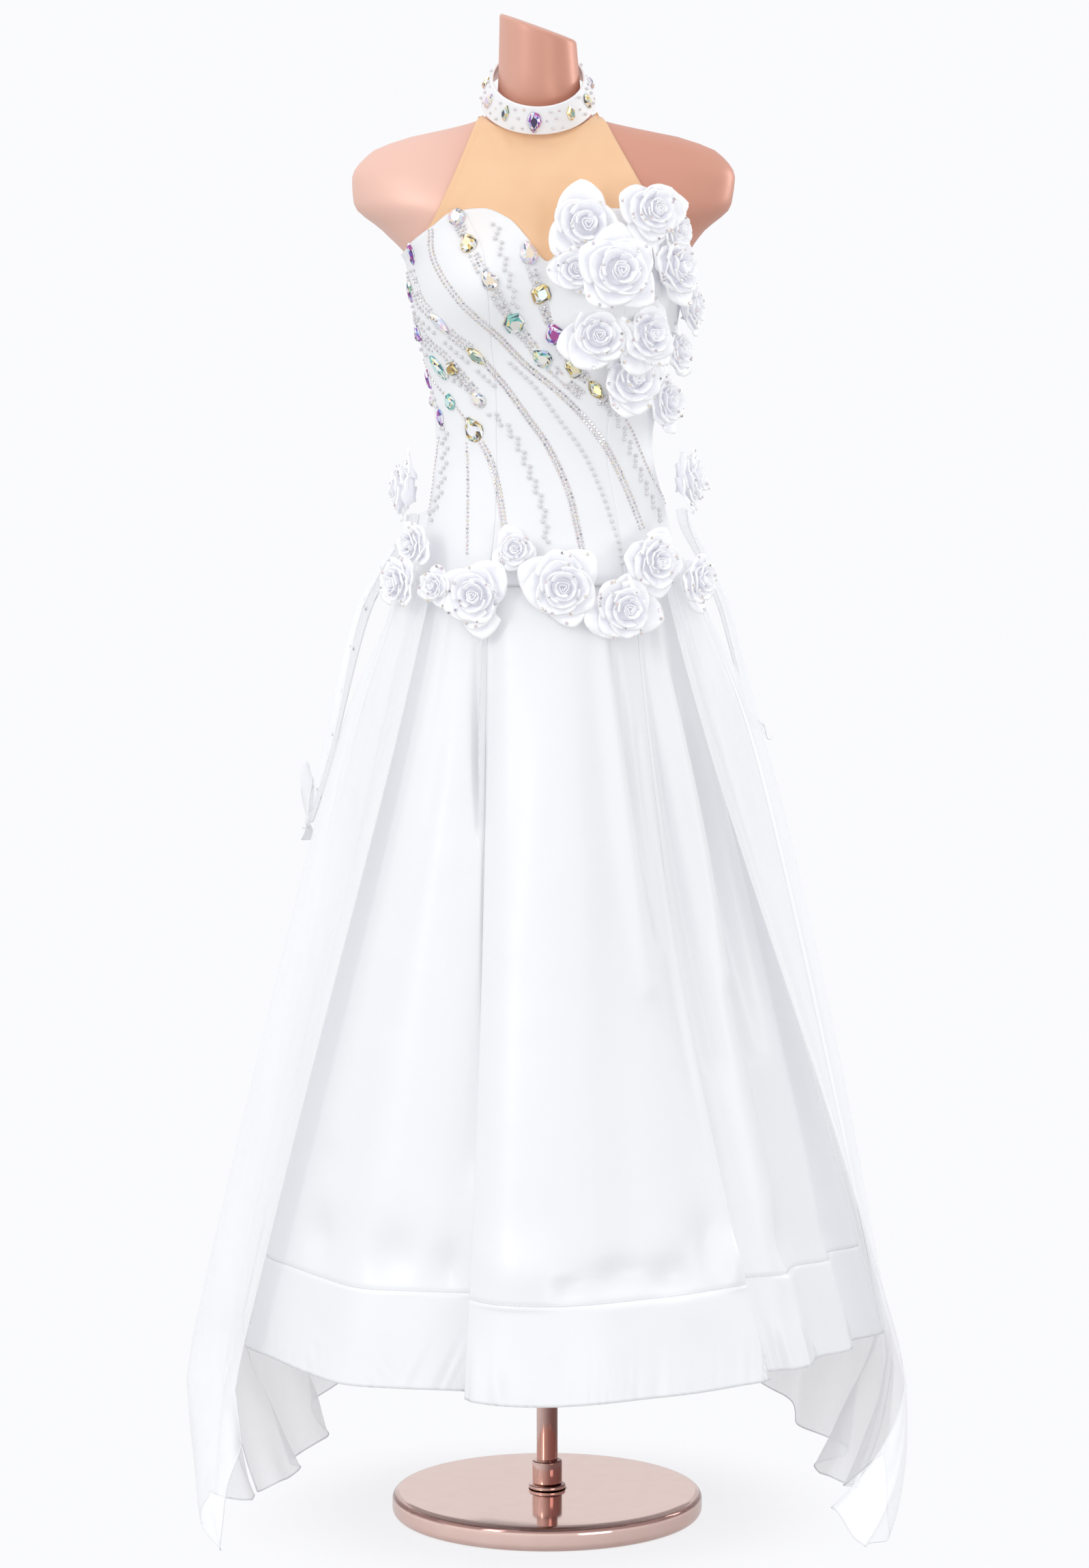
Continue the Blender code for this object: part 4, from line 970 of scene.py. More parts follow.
def build_collar():
    v_loop, out_loop = [], []
    for v in np.linspace(0.02, 0.98, 24):
        v_loop.append(v)
        out_loop.append(COLLAR_WALL + 0.0007 * math.sin(math.pi * v))
    for a in np.radians((30, 60, 90, 120, 150)):
        v_loop.append(0.98 + 0.02 * math.sin(a))
        out_loop.append(0.5 * COLLAR_WALL * (1 + math.cos(a)))
    for v in np.linspace(0.98, 0.02, 12):
        v_loop.append(v)
        out_loop.append(0.0)
    for a in np.radians((30, 60, 90, 120, 150)):
        v_loop.append(0.02 - 0.02 * math.sin(a))
        out_loop.append(0.5 * COLLAR_WALL * (1 - math.cos(a)))
    az = np.linspace(0, 360, 241)[:-1]
    grid = np.array([collar_at(az, np.full_like(az, v), np.full_like(az, o))
                     for v, o in zip(v_loop, out_loop)])
    rows, cols = grid.shape[:2]
    faces = grid_faces(rows, cols, wrap=True)
    for c in range(cols):
        d = (c + 1) % cols
        faces.append(((rows - 1) * cols + c, (rows - 1) * cols + d, d, c))
    ob = add_object("collar", grid, faces, FINISH["collar_satin"])
    bm = bmesh.new()
    bm.from_mesh(ob.data)
    bmesh.ops.recalc_face_normals(bm, faces=bm.faces)
    bm.to_mesh(ob.data)
    bm.free()
    uv = ob.data.uv_layers.new(name="grain")
    loops = np.zeros(len(ob.data.loops), dtype=int)
    ob.data.loops.foreach_get("vertex_index", loops)
    coords = np.stack([(loops % cols) * 0.0016, (loops // cols) * 0.0012], axis=1)
    uv.data.foreach_set("uv", coords.ravel())
    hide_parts("collar_band")


# ---------------------------------------------------------------- skirt
FOLDS = len(SKIRT_FOLDS)
TOP_PLACE, TOP_OUT, _ = figure_frame(np.array([row[1] for row in SKIRT_FOLDS]),
                                     np.full(FOLDS, DROP_WAIST))
SKIRT_TOPS = (TOP_PLACE + TOP_OUT * CLOTH_CLEAR)[:, :2]
SKIRT_HEMS = np.array([row[2:4] for row in SKIRT_FOLDS])
SKIRT_BENDS = np.array([row[4] for row in SKIRT_FOLDS])
TUCKED = np.array([name.endswith("tuck") for name in FOLD_NAMES])


TUCK_SHUT, TUCK_OPENS = 0.94, 0.75     # how shut a tuck is at the waist, where it is open


def skirt_at(index, t):
    """On the satin: index runs along the folds, t from the drop waist to the hem."""
    z = DROP_WAIST - SEAM_GAP + (HEM - DROP_WAIST + SEAM_GAP) * t
    i = np.floor(index).astype(int)

    def fold_at(j):
        grow = (np.maximum(t, 0.0) ** SKIRT_BENDS[j])[..., None]
        return SKIRT_TOPS[j] + (SKIRT_HEMS[j] - SKIRT_TOPS[j]) * grow

    near = []
    for k in (-1, 0, 1, 2):
        j = (i + k) % FOLDS
        here = fold_at(j)
        # the tucks open only some way down
        level = 0.5 * (fold_at((j - 1) % FOLDS) + fold_at((j + 1) % FOLDS))
        shut = np.where(TUCKED[j], TUCK_SHUT * (1 - ease(t / TUCK_OPENS)), 0.0)[..., None]
        near.append(here + (level - here) * shut)
    xy = catmull(*near, (index - i)[..., None])
    return np.concatenate([xy, z[..., None]], axis=-1)


def fold(name):
    return float(FOLD_NAMES.index(name))


# soft folds of the satin: fold count and share of length, from and to,
# width and height, a trough's less than nothing
SKIRT_CREASES = [
    # the front left gore's slanting fold under the roses
    (14.1, 0.03, 14.8, 0.32, 0.010, 0.013),
    (13.4, 0.02, 14.2, 0.30, 0.010, -0.014),
    (14.9, 0.20, 15.0, 0.60, 0.010, -0.006),
    (12.3, 0.04, 11.6, 0.55, 0.020, -0.005),
    (11.2, 0.05, 10.5, 0.70, 0.018, 0.005),
    (13.0, 0.35, 12.7, 0.92, 0.030, 0.004),
    # the front gore
    (17.4, 0.04, 17.0, 0.40, 0.018, -0.003),
    (18.7, 0.03, 18.9, 0.45, 0.024, 0.003),
    (21.0, 0.02, 22.0, 0.44, 0.011, -0.013),
    (20.3, 0.03, 21.1, 0.50, 0.014, 0.008),
    (22.3, 0.20, 22.4, 0.80, 0.016, -0.006),
    (19.3, 0.45, 19.6, 0.95, 0.040, -0.004),
    (17.3, 0.55, 17.1, 0.98, 0.030, 0.004),
    # the front right gore
    (24.9, 0.02, 25.2, 0.60, 0.011, -0.012),
    (25.9, 0.02, 26.3, 0.50, 0.011, 0.011),
    (27.2, 0.03, 27.3, 0.60, 0.011, -0.012),
    (28.2, 0.05, 28.5, 0.75, 0.014, 0.005),
    (29.3, 0.06, 29.4, 0.80, 0.014, -0.005),
    # sides and back, of the same kind
    (8.4, 0.04, 8.1, 0.65, 0.016, -0.006),
    (6.6, 0.03, 6.3, 0.55, 0.016, 0.006),
    (4.5, 0.02, 4.2, 0.60, 0.018, -0.006),
    (2.6, 0.05, 2.3, 0.50, 0.016, 0.006),
    (0.6, 0.03, 0.8, 0.65, 0.018, -0.006),
    (32.4, 0.04, 32.8, 0.55, 0.016, 0.006),
    (34.5, 0.02, 34.2, 0.60, 0.018, -0.006),
    (36.4, 0.05, 36.8, 0.60, 0.016, 0.006),
]
# broad waves that the stiff hem band throws into the satin above it
BAND_WAVE_FULL = 2.2       # the heights below, enlarged alike
BAND_WAVES = [
    # fold   share  half width along, half height, height
    (12.6, 0.84, 0.030, 0.030, -0.0045),
    (13.8, 0.85, 0.024, 0.024, -0.0040),
    (14.6, 0.80, 0.020, 0.060, 0.0040),
    (17.6, 0.84, 0.040, 0.028, 0.0030),
    (18.4, 0.86, 0.016, 0.010, -0.0030),
    (19.6, 0.85, 0.030, 0.016, -0.0042),
    (20.8, 0.86, 0.022, 0.020, -0.0048),
    (21.8, 0.83, 0.022, 0.034, -0.0050),
    (22.6, 0.85, 0.018, 0.026, 0.0035),
    (10.6, 0.83, 0.026, 0.026, -0.0040),
    (26.4, 0.84, 0.022, 0.030, -0.0040),
    (28.6, 0.85, 0.024, 0.026, -0.0035),
    (5.4, 0.84, 0.035, 0.030, -0.0040),
    (2.0, 0.84, 0.035, 0.030, -0.0040),
    (33.8, 0.84, 0.035, 0.030, -0.0040),
    (36.4, 0.85, 0.030, 0.026, -0.0040),
]


GORE_LAP = 0.0006          # a gore's last edge runs this far past its seam
SEAM_PROBE, SEAM_STEP_LIMIT = 0.1, 0.2     # counted in folds


def seam_lap(index, t):
    """How far past a seam a gore runs, counted in folds, along each level."""
    a = skirt_at(np.full_like(t, index), t)
    b = skirt_at(np.full_like(t, index - SEAM_PROBE), t)
    return np.minimum(SEAM_PROBE * GORE_LAP / np.linalg.norm(a - b, axis=-1),
                      SEAM_STEP_LIMIT)


HEM_STITCH = (0.0045, 0.0032, 0.00035)     # pitch, length and radius of a thread


def build_skirt():
    band = BAND_HEIGHT / SKIRT_LENGTH
    stitches = []
    for node, first, last in SKIRT_GORES:
        start, end = fold(first), fold(last)
        if end <= start:
            end += FOLDS
        levels = np.concatenate([[-0.004, -0.002], np.linspace(0, 1 - band - 0.012, 88),
                                 np.linspace(1 - band - 0.010, 1 - band + 0.010, 11),
                                 np.linspace(1 - band + 0.014, 1.0, 26)])
        share, t = np.meshgrid(np.linspace(0, 1, int((end - start) * 13) + 1), levels)
        index = start + (end + seam_lap(end, t) - start) * share
        grid = skirt_at(index, t)
        n = grid_normals(grid[::-1])[::-1]
        width = np.linalg.norm(grid[:, 1:] - grid[:, :-1], axis=2).sum(axis=1, keepdims=True)
        per_fold = width / (end - start)
        lift = np.zeros_like(index)
        # twice, because the last gore's count runs on past the first fold
        for turn in (0.0, FOLDS):
            lift = lift + crease(index - turn, t, per_fold.mean(), SKIRT_LENGTH, SKIRT_CREASES)
            for at, level, wide, tall, high in BAND_WAVES:
                along = bump_at((index - at - turn) * per_fold, wide)
                lift = lift + BAND_WAVE_FULL * high * along * bump_at(
                    (t - level) * SKIRT_LENGTH, tall)
        # near the waist there is no room for a fold to sink
        lift = np.where(lift < 0, lift * ease((t - 0.04) / 0.22), lift)
        lift = lift * (1 - bump_at(t, 0.02)) * (1 - 0.75 * ease((t - 1 + band) / 0.01))
        # hem band: doubled satin, a stitched groove at its head, puckers at its foot
        above_hem = (1 - t) * SKIRT_LENGTH
        lift = lift + 0.0009 * ease((BAND_HEIGHT - above_hem) / 0.004)
        lift = lift - 0.0016 * bump_at(above_hem - BAND_HEIGHT, 0.0018)
        steps = np.linalg.norm(grid[:, 1:] - grid[:, :-1], axis=2)
        run = np.cumsum(np.concatenate([np.zeros((len(levels), 1)), steps], axis=1), axis=1)
        total = run[:, -1:]
        near_end = bump_at(run, 0.085) + 0.6 * bump_at(total - run, 0.06)
        phase = run / 0.0125 + 0.9 * np.sin(run * 61.0) + start
        pucker = np.sin(phase * 2 * np.pi + 9.0 * above_hem) * (0.30 + np.clip(near_end, 0, 1))
        pucker *= 0.0030 * bump_at(np.maximum(above_hem - 0.008, 0), 0.034)
        lift = lift + pucker * (0.6 + 0.4 * np.sin(run * 173.0))
        lift = lift + 0.0008 * np.sin(run / 0.031 + above_hem * 30) * bump_at(
            above_hem - 0.5 * BAND_HEIGHT, 0.04)
        # gore seams
        lift = lift - 0.0003 * bump_at(np.minimum(run, total - run), 0.0016)
        lift = lift - 0.0007 * bump_at(total - run, 0.0012)
        # its head is tucked up inside the bodice
        lift = lift - 0.0022 * bump_at(np.maximum(t, 0) * SKIRT_LENGTH, 0.004)
        shape = grid + n * (SATIN + lift)[..., None]
        ob = cloth(node + "_satin", shape, FINISH["skirt_satin"], SATIN, node, side=1.0)
        area = cloth_area(shape)
        row = int(np.argmin(np.abs(levels - (1 - band))))
        stitches += stitch_line(shape[row] + n[row] * 0.0009, *HEM_STITCH)
    ob = joined("hem_band_stitches", stitches, FINISH["thread"])


def stitch_line(path, pitch, length, radius):
    """Short threads along a path of points."""
    run = np.concatenate([[0.0], np.cumsum(np.linalg.norm(np.diff(path, axis=0), axis=1))])
    out = []
    for s in np.arange(pitch, run[-1] - pitch, pitch):
        marks = np.linspace(s, s + length, 3)
        bit = np.stack([np.interp(marks, run, path[:, k]) for k in range(3)], axis=1)
        out.append(tube(bit, radius, 4))
    return out


# ---------------------------------------------------------------- floats
def cone_at(az, t):
    """Radius of the skirt's smooth cone."""
    t = np.minimum(t, CONE_FOOT)
    s, c = np.sin(np.radians(az)), np.cos(np.radians(az))
    half = [a + (b - a) * t for a, b in zip(CONE_TOP, CONE_HEM)]
    wide = np.where(s > 0, half[1], half[0])
    deep = np.where(c > 0, half[2], half[3])
    return wide * deep / np.sqrt((deep * s) ** 2 + (wide * c) ** 2)


def skirt_reach(heading, t):
    """Largest radius of the satin within a few degrees of each heading."""
    grow = np.minimum(t, 1.0)[..., None] ** SKIRT_BENDS
    xy = SKIRT_TOPS + (SKIRT_HEMS - SKIRT_TOPS) * grow[..., None]
    angle = np.degrees(np.arctan2(xy[..., 0], -xy[..., 1]))
    radius = np.hypot(xy[..., 0], xy[..., 1])
    away = np.abs((angle - heading[..., None] + 180) % 360 - 180)
    weight = np.clip(1.35 - away / (FLOAT_SPREAD * 1.4), 0.0, 1.0)
    return (radius * weight + 0.93 * radius * (1 - weight) * (away < 20)).max(axis=-1)


# how late a float's stand-off changes from out_top to out_hem; 1 is evenly
FLOAT_BENDS = {"float_left": 0.7, "float_right": 2.0, "float_right_back": 1.6}


def float_at(rows, u, v, wrist=False, bend=1.0):
    """On a float: u runs across it from its front edge, v down it from its top."""
    hem_z = WRIST_HEM_Z if wrist else FLOAT_HEM_Z
    start, drop = (WRIST_START, WRIST_DROP) if wrist else (FLOAT_START, FLOAT_DROP)
    top_az, hem_az, tip_az, out_top, out_hem, out_tip, top_z, tip_z = np.moveaxis(
        row_spline(rows, u * (len(rows) - 1)), -1, 0)
    z = top_z + (tip_z - top_z) * v
    share = (top_z - hem_z) / (top_z - tip_z)
    k = np.clip(v / share, 0, 1)
    swing = ease(k) * 0.5 + k * 0.5
    q = np.clip((v - share) / (1.0 - share), 0, 1) ** 2
    az = np.where(v < share, top_az + (hem_az - top_az) * swing, hem_az + (tip_az - hem_az) * q)
    upper = out_top + (out_hem - out_top) * k**bend
    upper = start + (upper - start) * (1 - np.exp(-((top_z - z) / drop) ** 2))
    out = np.where(v < share, upper, out_hem + (out_tip - out_hem) * q)
    t = (DROP_WAIST - z) / SKIRT_LENGTH
    radius = cone_at(az, np.maximum(t, 0.0)) + out
    if not wrist:
        need = skirt_reach(az, np.maximum(t, 0)) + SATIN + FLOAT_OFF_SATIN
        hold = ease(t / 0.04) * (1 - ease((t - 0.99) / 0.15))
        radius = radius + np.maximum(need - radius, 0) * hold
    a = np.radians(az)
    return np.stack([radius * np.sin(a), -radius * np.cos(a), z], axis=-1)


FLOAT_RIPPLES = {
    # across, width of the ridge as a share, height in metres
    "float_left": [(0.16, 0.045, -0.0045), (0.40, 0.060, 0.0060), (0.62, 0.035, -0.0050),
                   (0.86, 0.050, 0.0050)],
    "float_left_back": [(0.20, 0.060, 0.0060), (0.52, 0.050, -0.0060), (0.80, 0.060, 0.0060)],
    "float_right": [(0.14, 0.040, -0.0040), (0.37, 0.060, 0.0055), (0.58, 0.035, -0.0050),
                    (0.82, 0.055, 0.0055)],
    "float_right_back": [(0.22, 0.060, 0.0060), (0.50, 0.045, -0.0060), (0.78, 0.060, 0.0060)],
}


FLOAT_ABOVE_FLOOR = 0.004
ROLLED_HEM = 0.0009        # radius


def build_floats():
    for name, rows in FLOATS.items():
        u, v = np.meshgrid(np.linspace(0, 1, 110), np.linspace(0, 1, 140))
        grid = float_at(rows, u, v, bend=FLOAT_BENDS.get(name, 1.0))
        n = grid_normals(grid) * (1.0 if "left" in name else -1.0)
        lift = np.zeros_like(u)
        for at, wide, high in FLOAT_RIPPLES[name]:
            wander = at + 0.012 * np.sin(5.0 * v + 9.0 * at)
            lift += high * bump_at(u - wander, wide) * (0.55 + 0.45 * np.sin(2.2 * v + 7 * at))
        # gathers where the float is caught under the roses
        lift += 0.0018 * np.sin(u * 2 * np.pi * 13 + 3 * np.sin(7 * u)) * bump_at(v, 0.05)
        # ruffled foot
        lift += 0.006 * np.sin(u * 2 * np.pi * 2.6 + 1.1 + 2 * u * u) * bump_at(1 - v, 0.12)
        lift += 0.0035 * np.sin(u * 2 * np.pi * 5.2 + 3 * np.sin(5 * u)) * bump_at(1 - v, 0.03)
        shape = grid + n * (0.0012 + lift)[..., None]
        shape[..., 2] = np.maximum(shape[..., 2], FLOAT_ABOVE_FLOOR)
        make_float(name, shape)
    for name, rows in WRIST_FLOATS.items():
        u, v = np.meshgrid(np.linspace(0, 1, 40), np.linspace(0, 1, 90))
        grid = float_at(rows, u, v, wrist=True)
        n = grid_normals(grid)
        lift = 0.003 * np.sin(u * 2 * np.pi * 2.5 + 2 * v)
        make_float(name, grid + n * lift[..., None])


def make_float(name, shape):
    ob = cloth(name + "_chiffon", shape, FINISH["chiffon"], 0.0, name)
    rim = np.vstack([shape[:, 0], shape[-1, 1:], shape[::-1, -1][1:]])
    hem = joined(name + "_rolled_hem", [tube(rim, ROLLED_HEM, 6)], FINISH["thread"])
    area = cloth_area(shape)


# ---------------------------------------------------------------- roses
PETALS = 14                # folds of the ribbon in one rose
PETALS_A_TURN = 3.4
TURN_A_ROSE = 0.9          # radians from one rose to the next, so that none look alike
RIBBON = 0.0006            # thickness
STONES_A_METRE = 460       # stones on a rose for each metre of its radius
PETAL_ACROSS, PETAL_ALONG = 21, 7


def petal(radius, k, turn, draw):
    """One fold of the wound ribbon: a broad band around the heart with a pointed
    corner, its one end tucked under the fold before it."""
    s, v = np.meshgrid(np.linspace(-1, 1, PETAL_ACROSS), np.linspace(0, 1, PETAL_ALONG))
    grown = k / (PETALS - 1)
    tip = (0.20 + 0.84 * grown**0.85) * (1.0 + 0.12 * (draw[0] - 0.5))
    root = tip * (0.72 - 0.34 * grown)
    half = math.radians(88 - 26 * grown)
    corner = 0.9 * (draw[1] - 0.5)
    away = np.abs(s - corner)
    # the lip runs straight to its corner from either side
    outline = tip * (1.15 - (0.12 + 0.38 * grown) * np.sqrt(away**2 + 0.001) + 0.05 * s)
    rho = root + (outline - root) * v
    theta = turn + 2 * np.pi * k / PETALS_A_TURN + s * half + 0.35 * (draw[2] - 0.5)
    crown = 0.66 - 0.50 * grown**1.05 + 0.10 * (draw[3] - 0.5)
    depth = 0.30 + 0.02 * grown
    # a cupped section: steep at the root, laid over at the lip
    rise = crown - depth * (1 - v) ** 1.8 - 0.04 * grown * v**2 + 0.05 * s
    # the corner lifts, and creases run in from it and from either side
    rise = rise + (0.03 + 0.07 * grown) * np.maximum(0.0, 1 - away / 0.5) * v**2
    first = np.abs(s - corner - 0.7 * (draw[2] - 0.5) * (1 - v))
    rise = rise + 0.050 * np.maximum(0.0, 1 - first / 0.26) * v
    second = np.abs(s + 0.58 - 0.5 * v * draw[3])
    rise = rise - 0.085 * np.maximum(0.0, 1 - second / 0.24) * ease(v * 1.5)
    third = np.abs(s - 0.62 + 0.4 * v * draw[0])
    rise = rise - 0.070 * np.maximum(0.0, 1 - third / 0.20) * ease(v * 1.5)
    # small straight pleats that run from the root to the lip
    for at, high in ((-0.30, 0.030), (0.12, -0.034), (0.40, 0.026)):
        near = np.abs(s - at - 0.5 * (draw[1] - 0.5) + 0.25 * v * (draw[0] - 0.5))
        rise = rise + high * np.maximum(0.0, 1 - near / 0.13) * ease(v * 1.3)
    # the lip turns over
    lip = np.clip((v - 0.80) / 0.20, 0, 1)
    rise = rise - 0.05 * lip**2
    rho = rho - 0.02 * tip * lip**3
    points = np.stack([rho * np.cos(theta), rho * np.sin(theta), rise], axis=-1) * radius
    # painted shade: darker towards the root and along two creases, paler at the lip
    shade = np.clip(0.05 + 1.15 * v, 0, 1)
    shade = shade * (1.0 - 0.55 * np.maximum(0.0, 1 - second / 0.3) * (1 - lip))
    shade = shade * (1.0 - 0.35 * np.maximum(0.0, 1 - third / 0.25) * (1 - lip))
    return points, shade


def heart_of(radius, turn):
    """The rolled heart: the ribbon's start, wound twice."""
    s, v = np.meshgrid(np.linspace(0, 1, 44), np.linspace(0, 1, 5))
    angle = turn + s * 2 * np.pi * 2.1
    rho = 0.02 + 0.135 * s + 0.02 * v + 0.016 * np.sin(angle * 3)
    rise = 0.36 + (0.25 - 0.03 * s) * v + 0.015 * np.sin(angle * 2)
    points = np.stack([rho * np.cos(angle), rho * np.sin(angle), rise], axis=-1) * radius
    # painted shade: the heart darker towards its foot
    return points, np.clip(0.15 + 0.85 * v, 0, 1)


def backing(radius):
    """The round of cloth that the ribbon is sewn to."""
    a, v = np.meshgrid(np.linspace(0, 2 * np.pi, 25), np.linspace(0, 1, 5))
    rho = 0.62 * v + 0.001
    points = np.stack([rho * np.cos(a), rho * np.sin(a), 0.20 - 0.16 * v**2], axis=-1)
    # painted shade: the backing dark all over, darkest at its middle
    return points * radius, 0.25 + 0.2 * v


def rose_seats():
    seats = []
    for name, x, z, radius, az, lift in BUST_ROSES:
        middle = np.array((x, front_depth(np.array(x), np.array(z)), z))
        a = math.radians(az)
        n = unit(np.array((math.sin(a), -math.cos(a), 0.12)))
        seats.append((name, middle + n * (CLOTH_CLEAR + CREPE + lift), n, radius))
    for name, az, z, radius, lift in HIP_ROSES:
        middle, n, _ = figure_frame(np.array(az), np.array(z))
        n = unit(n * np.array((1.0, 1.0, 0.5)))
        seats.append((name, middle + n * (CLOTH_CLEAR + CREPE + lift), n, radius))
    return seats


def build_roses():
    rng = np.random.default_rng(11)
    stones = []
    for number, (name, middle, n, radius) in enumerate(rose_seats()):
        right = unit(np.cross((0.0, 0.0, 1.0), n))
        up = np.cross(n, right)
        turn = TURN_A_ROSE * number
        size = radius * ROSE_FULL["hip" in name]
        sheets = [petal(size, k, turn, rng.random(4)) for k in range(PETALS)]
        sheets += [heart_of(size, turn), backing(size)]
        points, faces, shades = [], [], []
        for pts, shade in sheets:
            rows, cols = pts.shape[:2]
            base = sum(len(p) for p in points)
            points.append(pts.reshape(-1, 3))
            shades.append(shade.ravel())
            faces += grid_faces(rows, cols, start=base)
        local = np.vstack(points)
        world = middle + local[:, :1] * right + local[:, 1:2] * up + local[:, 2:] * n
        ob = add_object(name + "_petals", world, faces, FINISH["rose_satin"], sharp=48)
        # the painted shade of every sheet, read by the rose satin
        attr = ob.data.attributes.new("shade", "FLOAT", "POINT")
        attr.data.foreach_set("value", np.concatenate(shades))
        wall = ob.modifiers.new("ribbon", "SOLIDIFY")
        wall.thickness = RIBBON
        wall.offset = 0.0
        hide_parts(name)
        # stones near the lips
        for _ in range(int(radius * STONES_A_METRE)):
            which = int(rng.integers(2, PETALS))
            pts = sheets[which][0]
            row = PETAL_ALONG - 2
            col = int(rng.integers(3, PETAL_ACROSS - 3))
            a = pts[row, col + 1] - pts[row, col - 1]
            b = pts[row + 1, col] - pts[row - 1, col]
            out = unit(np.cross(b, a))
            if out[2] < 0:
                out = -out
            place = pts[row, col] + out * 0.0005
            axes = np.array([right, up, n])
            o = unit(out @ axes)
            side = unit(np.cross(up, o))
            reach = 0.5 * RHINESTONE * (0.95 + 0.35 * rng.random())
            stones.append((middle + place @ axes, side, np.cross(o, side), o,
                           reach, reach, reach))
    ob = scatter("rose_stones", round_stone(), stones, FINISH["crystal"],
                 tints=(5, ["small"], 0.7))


# ---------------------------------------------------------------- stones and pearls
def round_stone(sides=8):
    """A small faceted stone of radius 1, its back at 0 and its table at 0.75."""
    return cut_stone(round_outline(sides), [(1.0, 0.0), (1.0, 0.25), (0.62, 0.75)])


def cut_stone(outline, rings):
    """Points and faces of a stone: rings of share of the outline and height."""
    outline = np.array(outline)
    count = len(outline)
    points = []
    for share, height in rings:
        points += [(x * share, y * share, height) for x, y in outline]
    faces = []
    for r in range(len(rings) - 1):
        for k in range(count):
            d = (k + 1) % count
            a, b = r * count, (r + 1) * count
            if r == 0:
                faces.append((a + k, a + d, b + d, b + k))
            else:
                faces.append((a + k, a + d, b + d))
                faces.append((a + k, b + d, b + k))
    faces.append(tuple((len(rings) - 1) * count + k for k in range(count)))
    faces.append(tuple(reversed(range(count))))
    return np.array(points), faces


FANCY_RINGS = [(1.0, 0.0), (1.0, 0.30), (0.80, 0.72), (0.48, 1.0)]


def round_outline(sides):
    return [(math.cos(2 * math.pi * k / sides), math.sin(2 * math.pi * k / sides))
            for k in range(sides)]


def fancy_outline(kind):
    """Outline of a fancy stone within one unit each way, its point at +Y."""
    a = np.linspace(0, 2 * np.pi, 13)[:-1]
    if kind == "pear":
        r = np.stack([np.sin(a) * np.where(np.cos(a) > 0, 1 - 0.45 * np.cos(a), 1.0),
                      np.cos(a) * np.where(np.cos(a) > 0, 1.0, 0.80)], axis=1)
        return r[::-1]
    if kind == "navette":
        return np.stack([np.sin(a) * (1 - 0.5 * np.cos(a) ** 2), np.cos(a)], axis=1)[::-1]
    if kind == "square":
        return [(0.6, 1), (-0.6, 1), (-1, 0.6), (-1, -0.6), (-0.6, -1), (0.6, -1),
                (1, -0.6), (1, 0.6)]
    if kind == "kite":
        return [(0.0, 1.0), (-0.8, 0.2), (-0.55, -0.7), (0.0, -1.0), (0.55, -0.7), (0.8, 0.2)]
    if kind == "pentagon":
        return [(0.55, 1.0), (-0.55, 1.0), (-1.0, 0.1), (-0.5, -0.9), (0.5, -0.9), (1.0, 0.1)]
    return round_outline(12)


# painted reflections: white glints, and per-coat tints with dark facets, fixed on each facet;
# the tints are also the aurora coats' own colours
WHITE_LIGHT = [(0.97, 0.97, 0.99), (0.80, 0.82, 0.88), (0.98, 0.95, 0.88)]
AURORA_AND_REFLECTIONS = {
    "amber": [(0.88, 0.66, 0.20), (0.52, 0.34, 0.10), (0.97, 0.88, 0.58), (0.10, 0.09, 0.08),
              (0.34, 0.50, 0.42)],
    "teal": [(0.05, 0.34, 0.34), (0.26, 0.62, 0.55), (0.92, 0.78, 0.36), (0.06, 0.08, 0.12),
             (0.66, 0.90, 0.88)],
    "violet": [(0.20, 0.08, 0.50), (0.48, 0.07, 0.34), (0.70, 0.44, 0.80), (0.06, 0.04, 0.12),
               (0.36, 0.56, 0.86)],
    "clear": [(0.94, 0.80, 0.62), (0.66, 0.76, 0.93), (0.24, 0.26, 0.32), (0.97, 0.93, 0.84),
              (0.86, 0.64, 0.82)],
    "small": [(0.92, 0.74, 0.70), (0.92, 0.84, 0.58), (0.62, 0.64, 0.72), (0.86, 0.72, 0.84),
              (0.34, 0.34, 0.40)],
}


def paint_facets(ob, per_stone, tints):
    """Aurora coating with painted reflections: each facet its own fixed tint, the rest bright
    white glints.
    """
    seed, coats, strength = tints
    rng = np.random.default_rng(seed)
    mesh = ob.data
    count = len(mesh.polygons)
    colour = np.zeros((count, 4))
    colour[:, 3] = 1.0
    for stone in range(count // per_stone):
        coat = np.array(AURORA_AND_REFLECTIONS[coats[stone % len(coats)]])
        for k in range(stone * per_stone, (stone + 1) * per_stone):
            if rng.random() < strength:
                colour[k, :3] = coat[int(rng.integers(0, len(coat)))]
            else:
                colour[k, :3] = WHITE_LIGHT[int(rng.integers(0, 3))]
    layer = mesh.color_attributes.new("tint", "FLOAT_COLOR", "CORNER")
    corners = np.repeat(np.arange(count), [len(p.vertices) for p in mesh.polygons])
    layer.data.foreach_set("color", colour[corners].ravel())


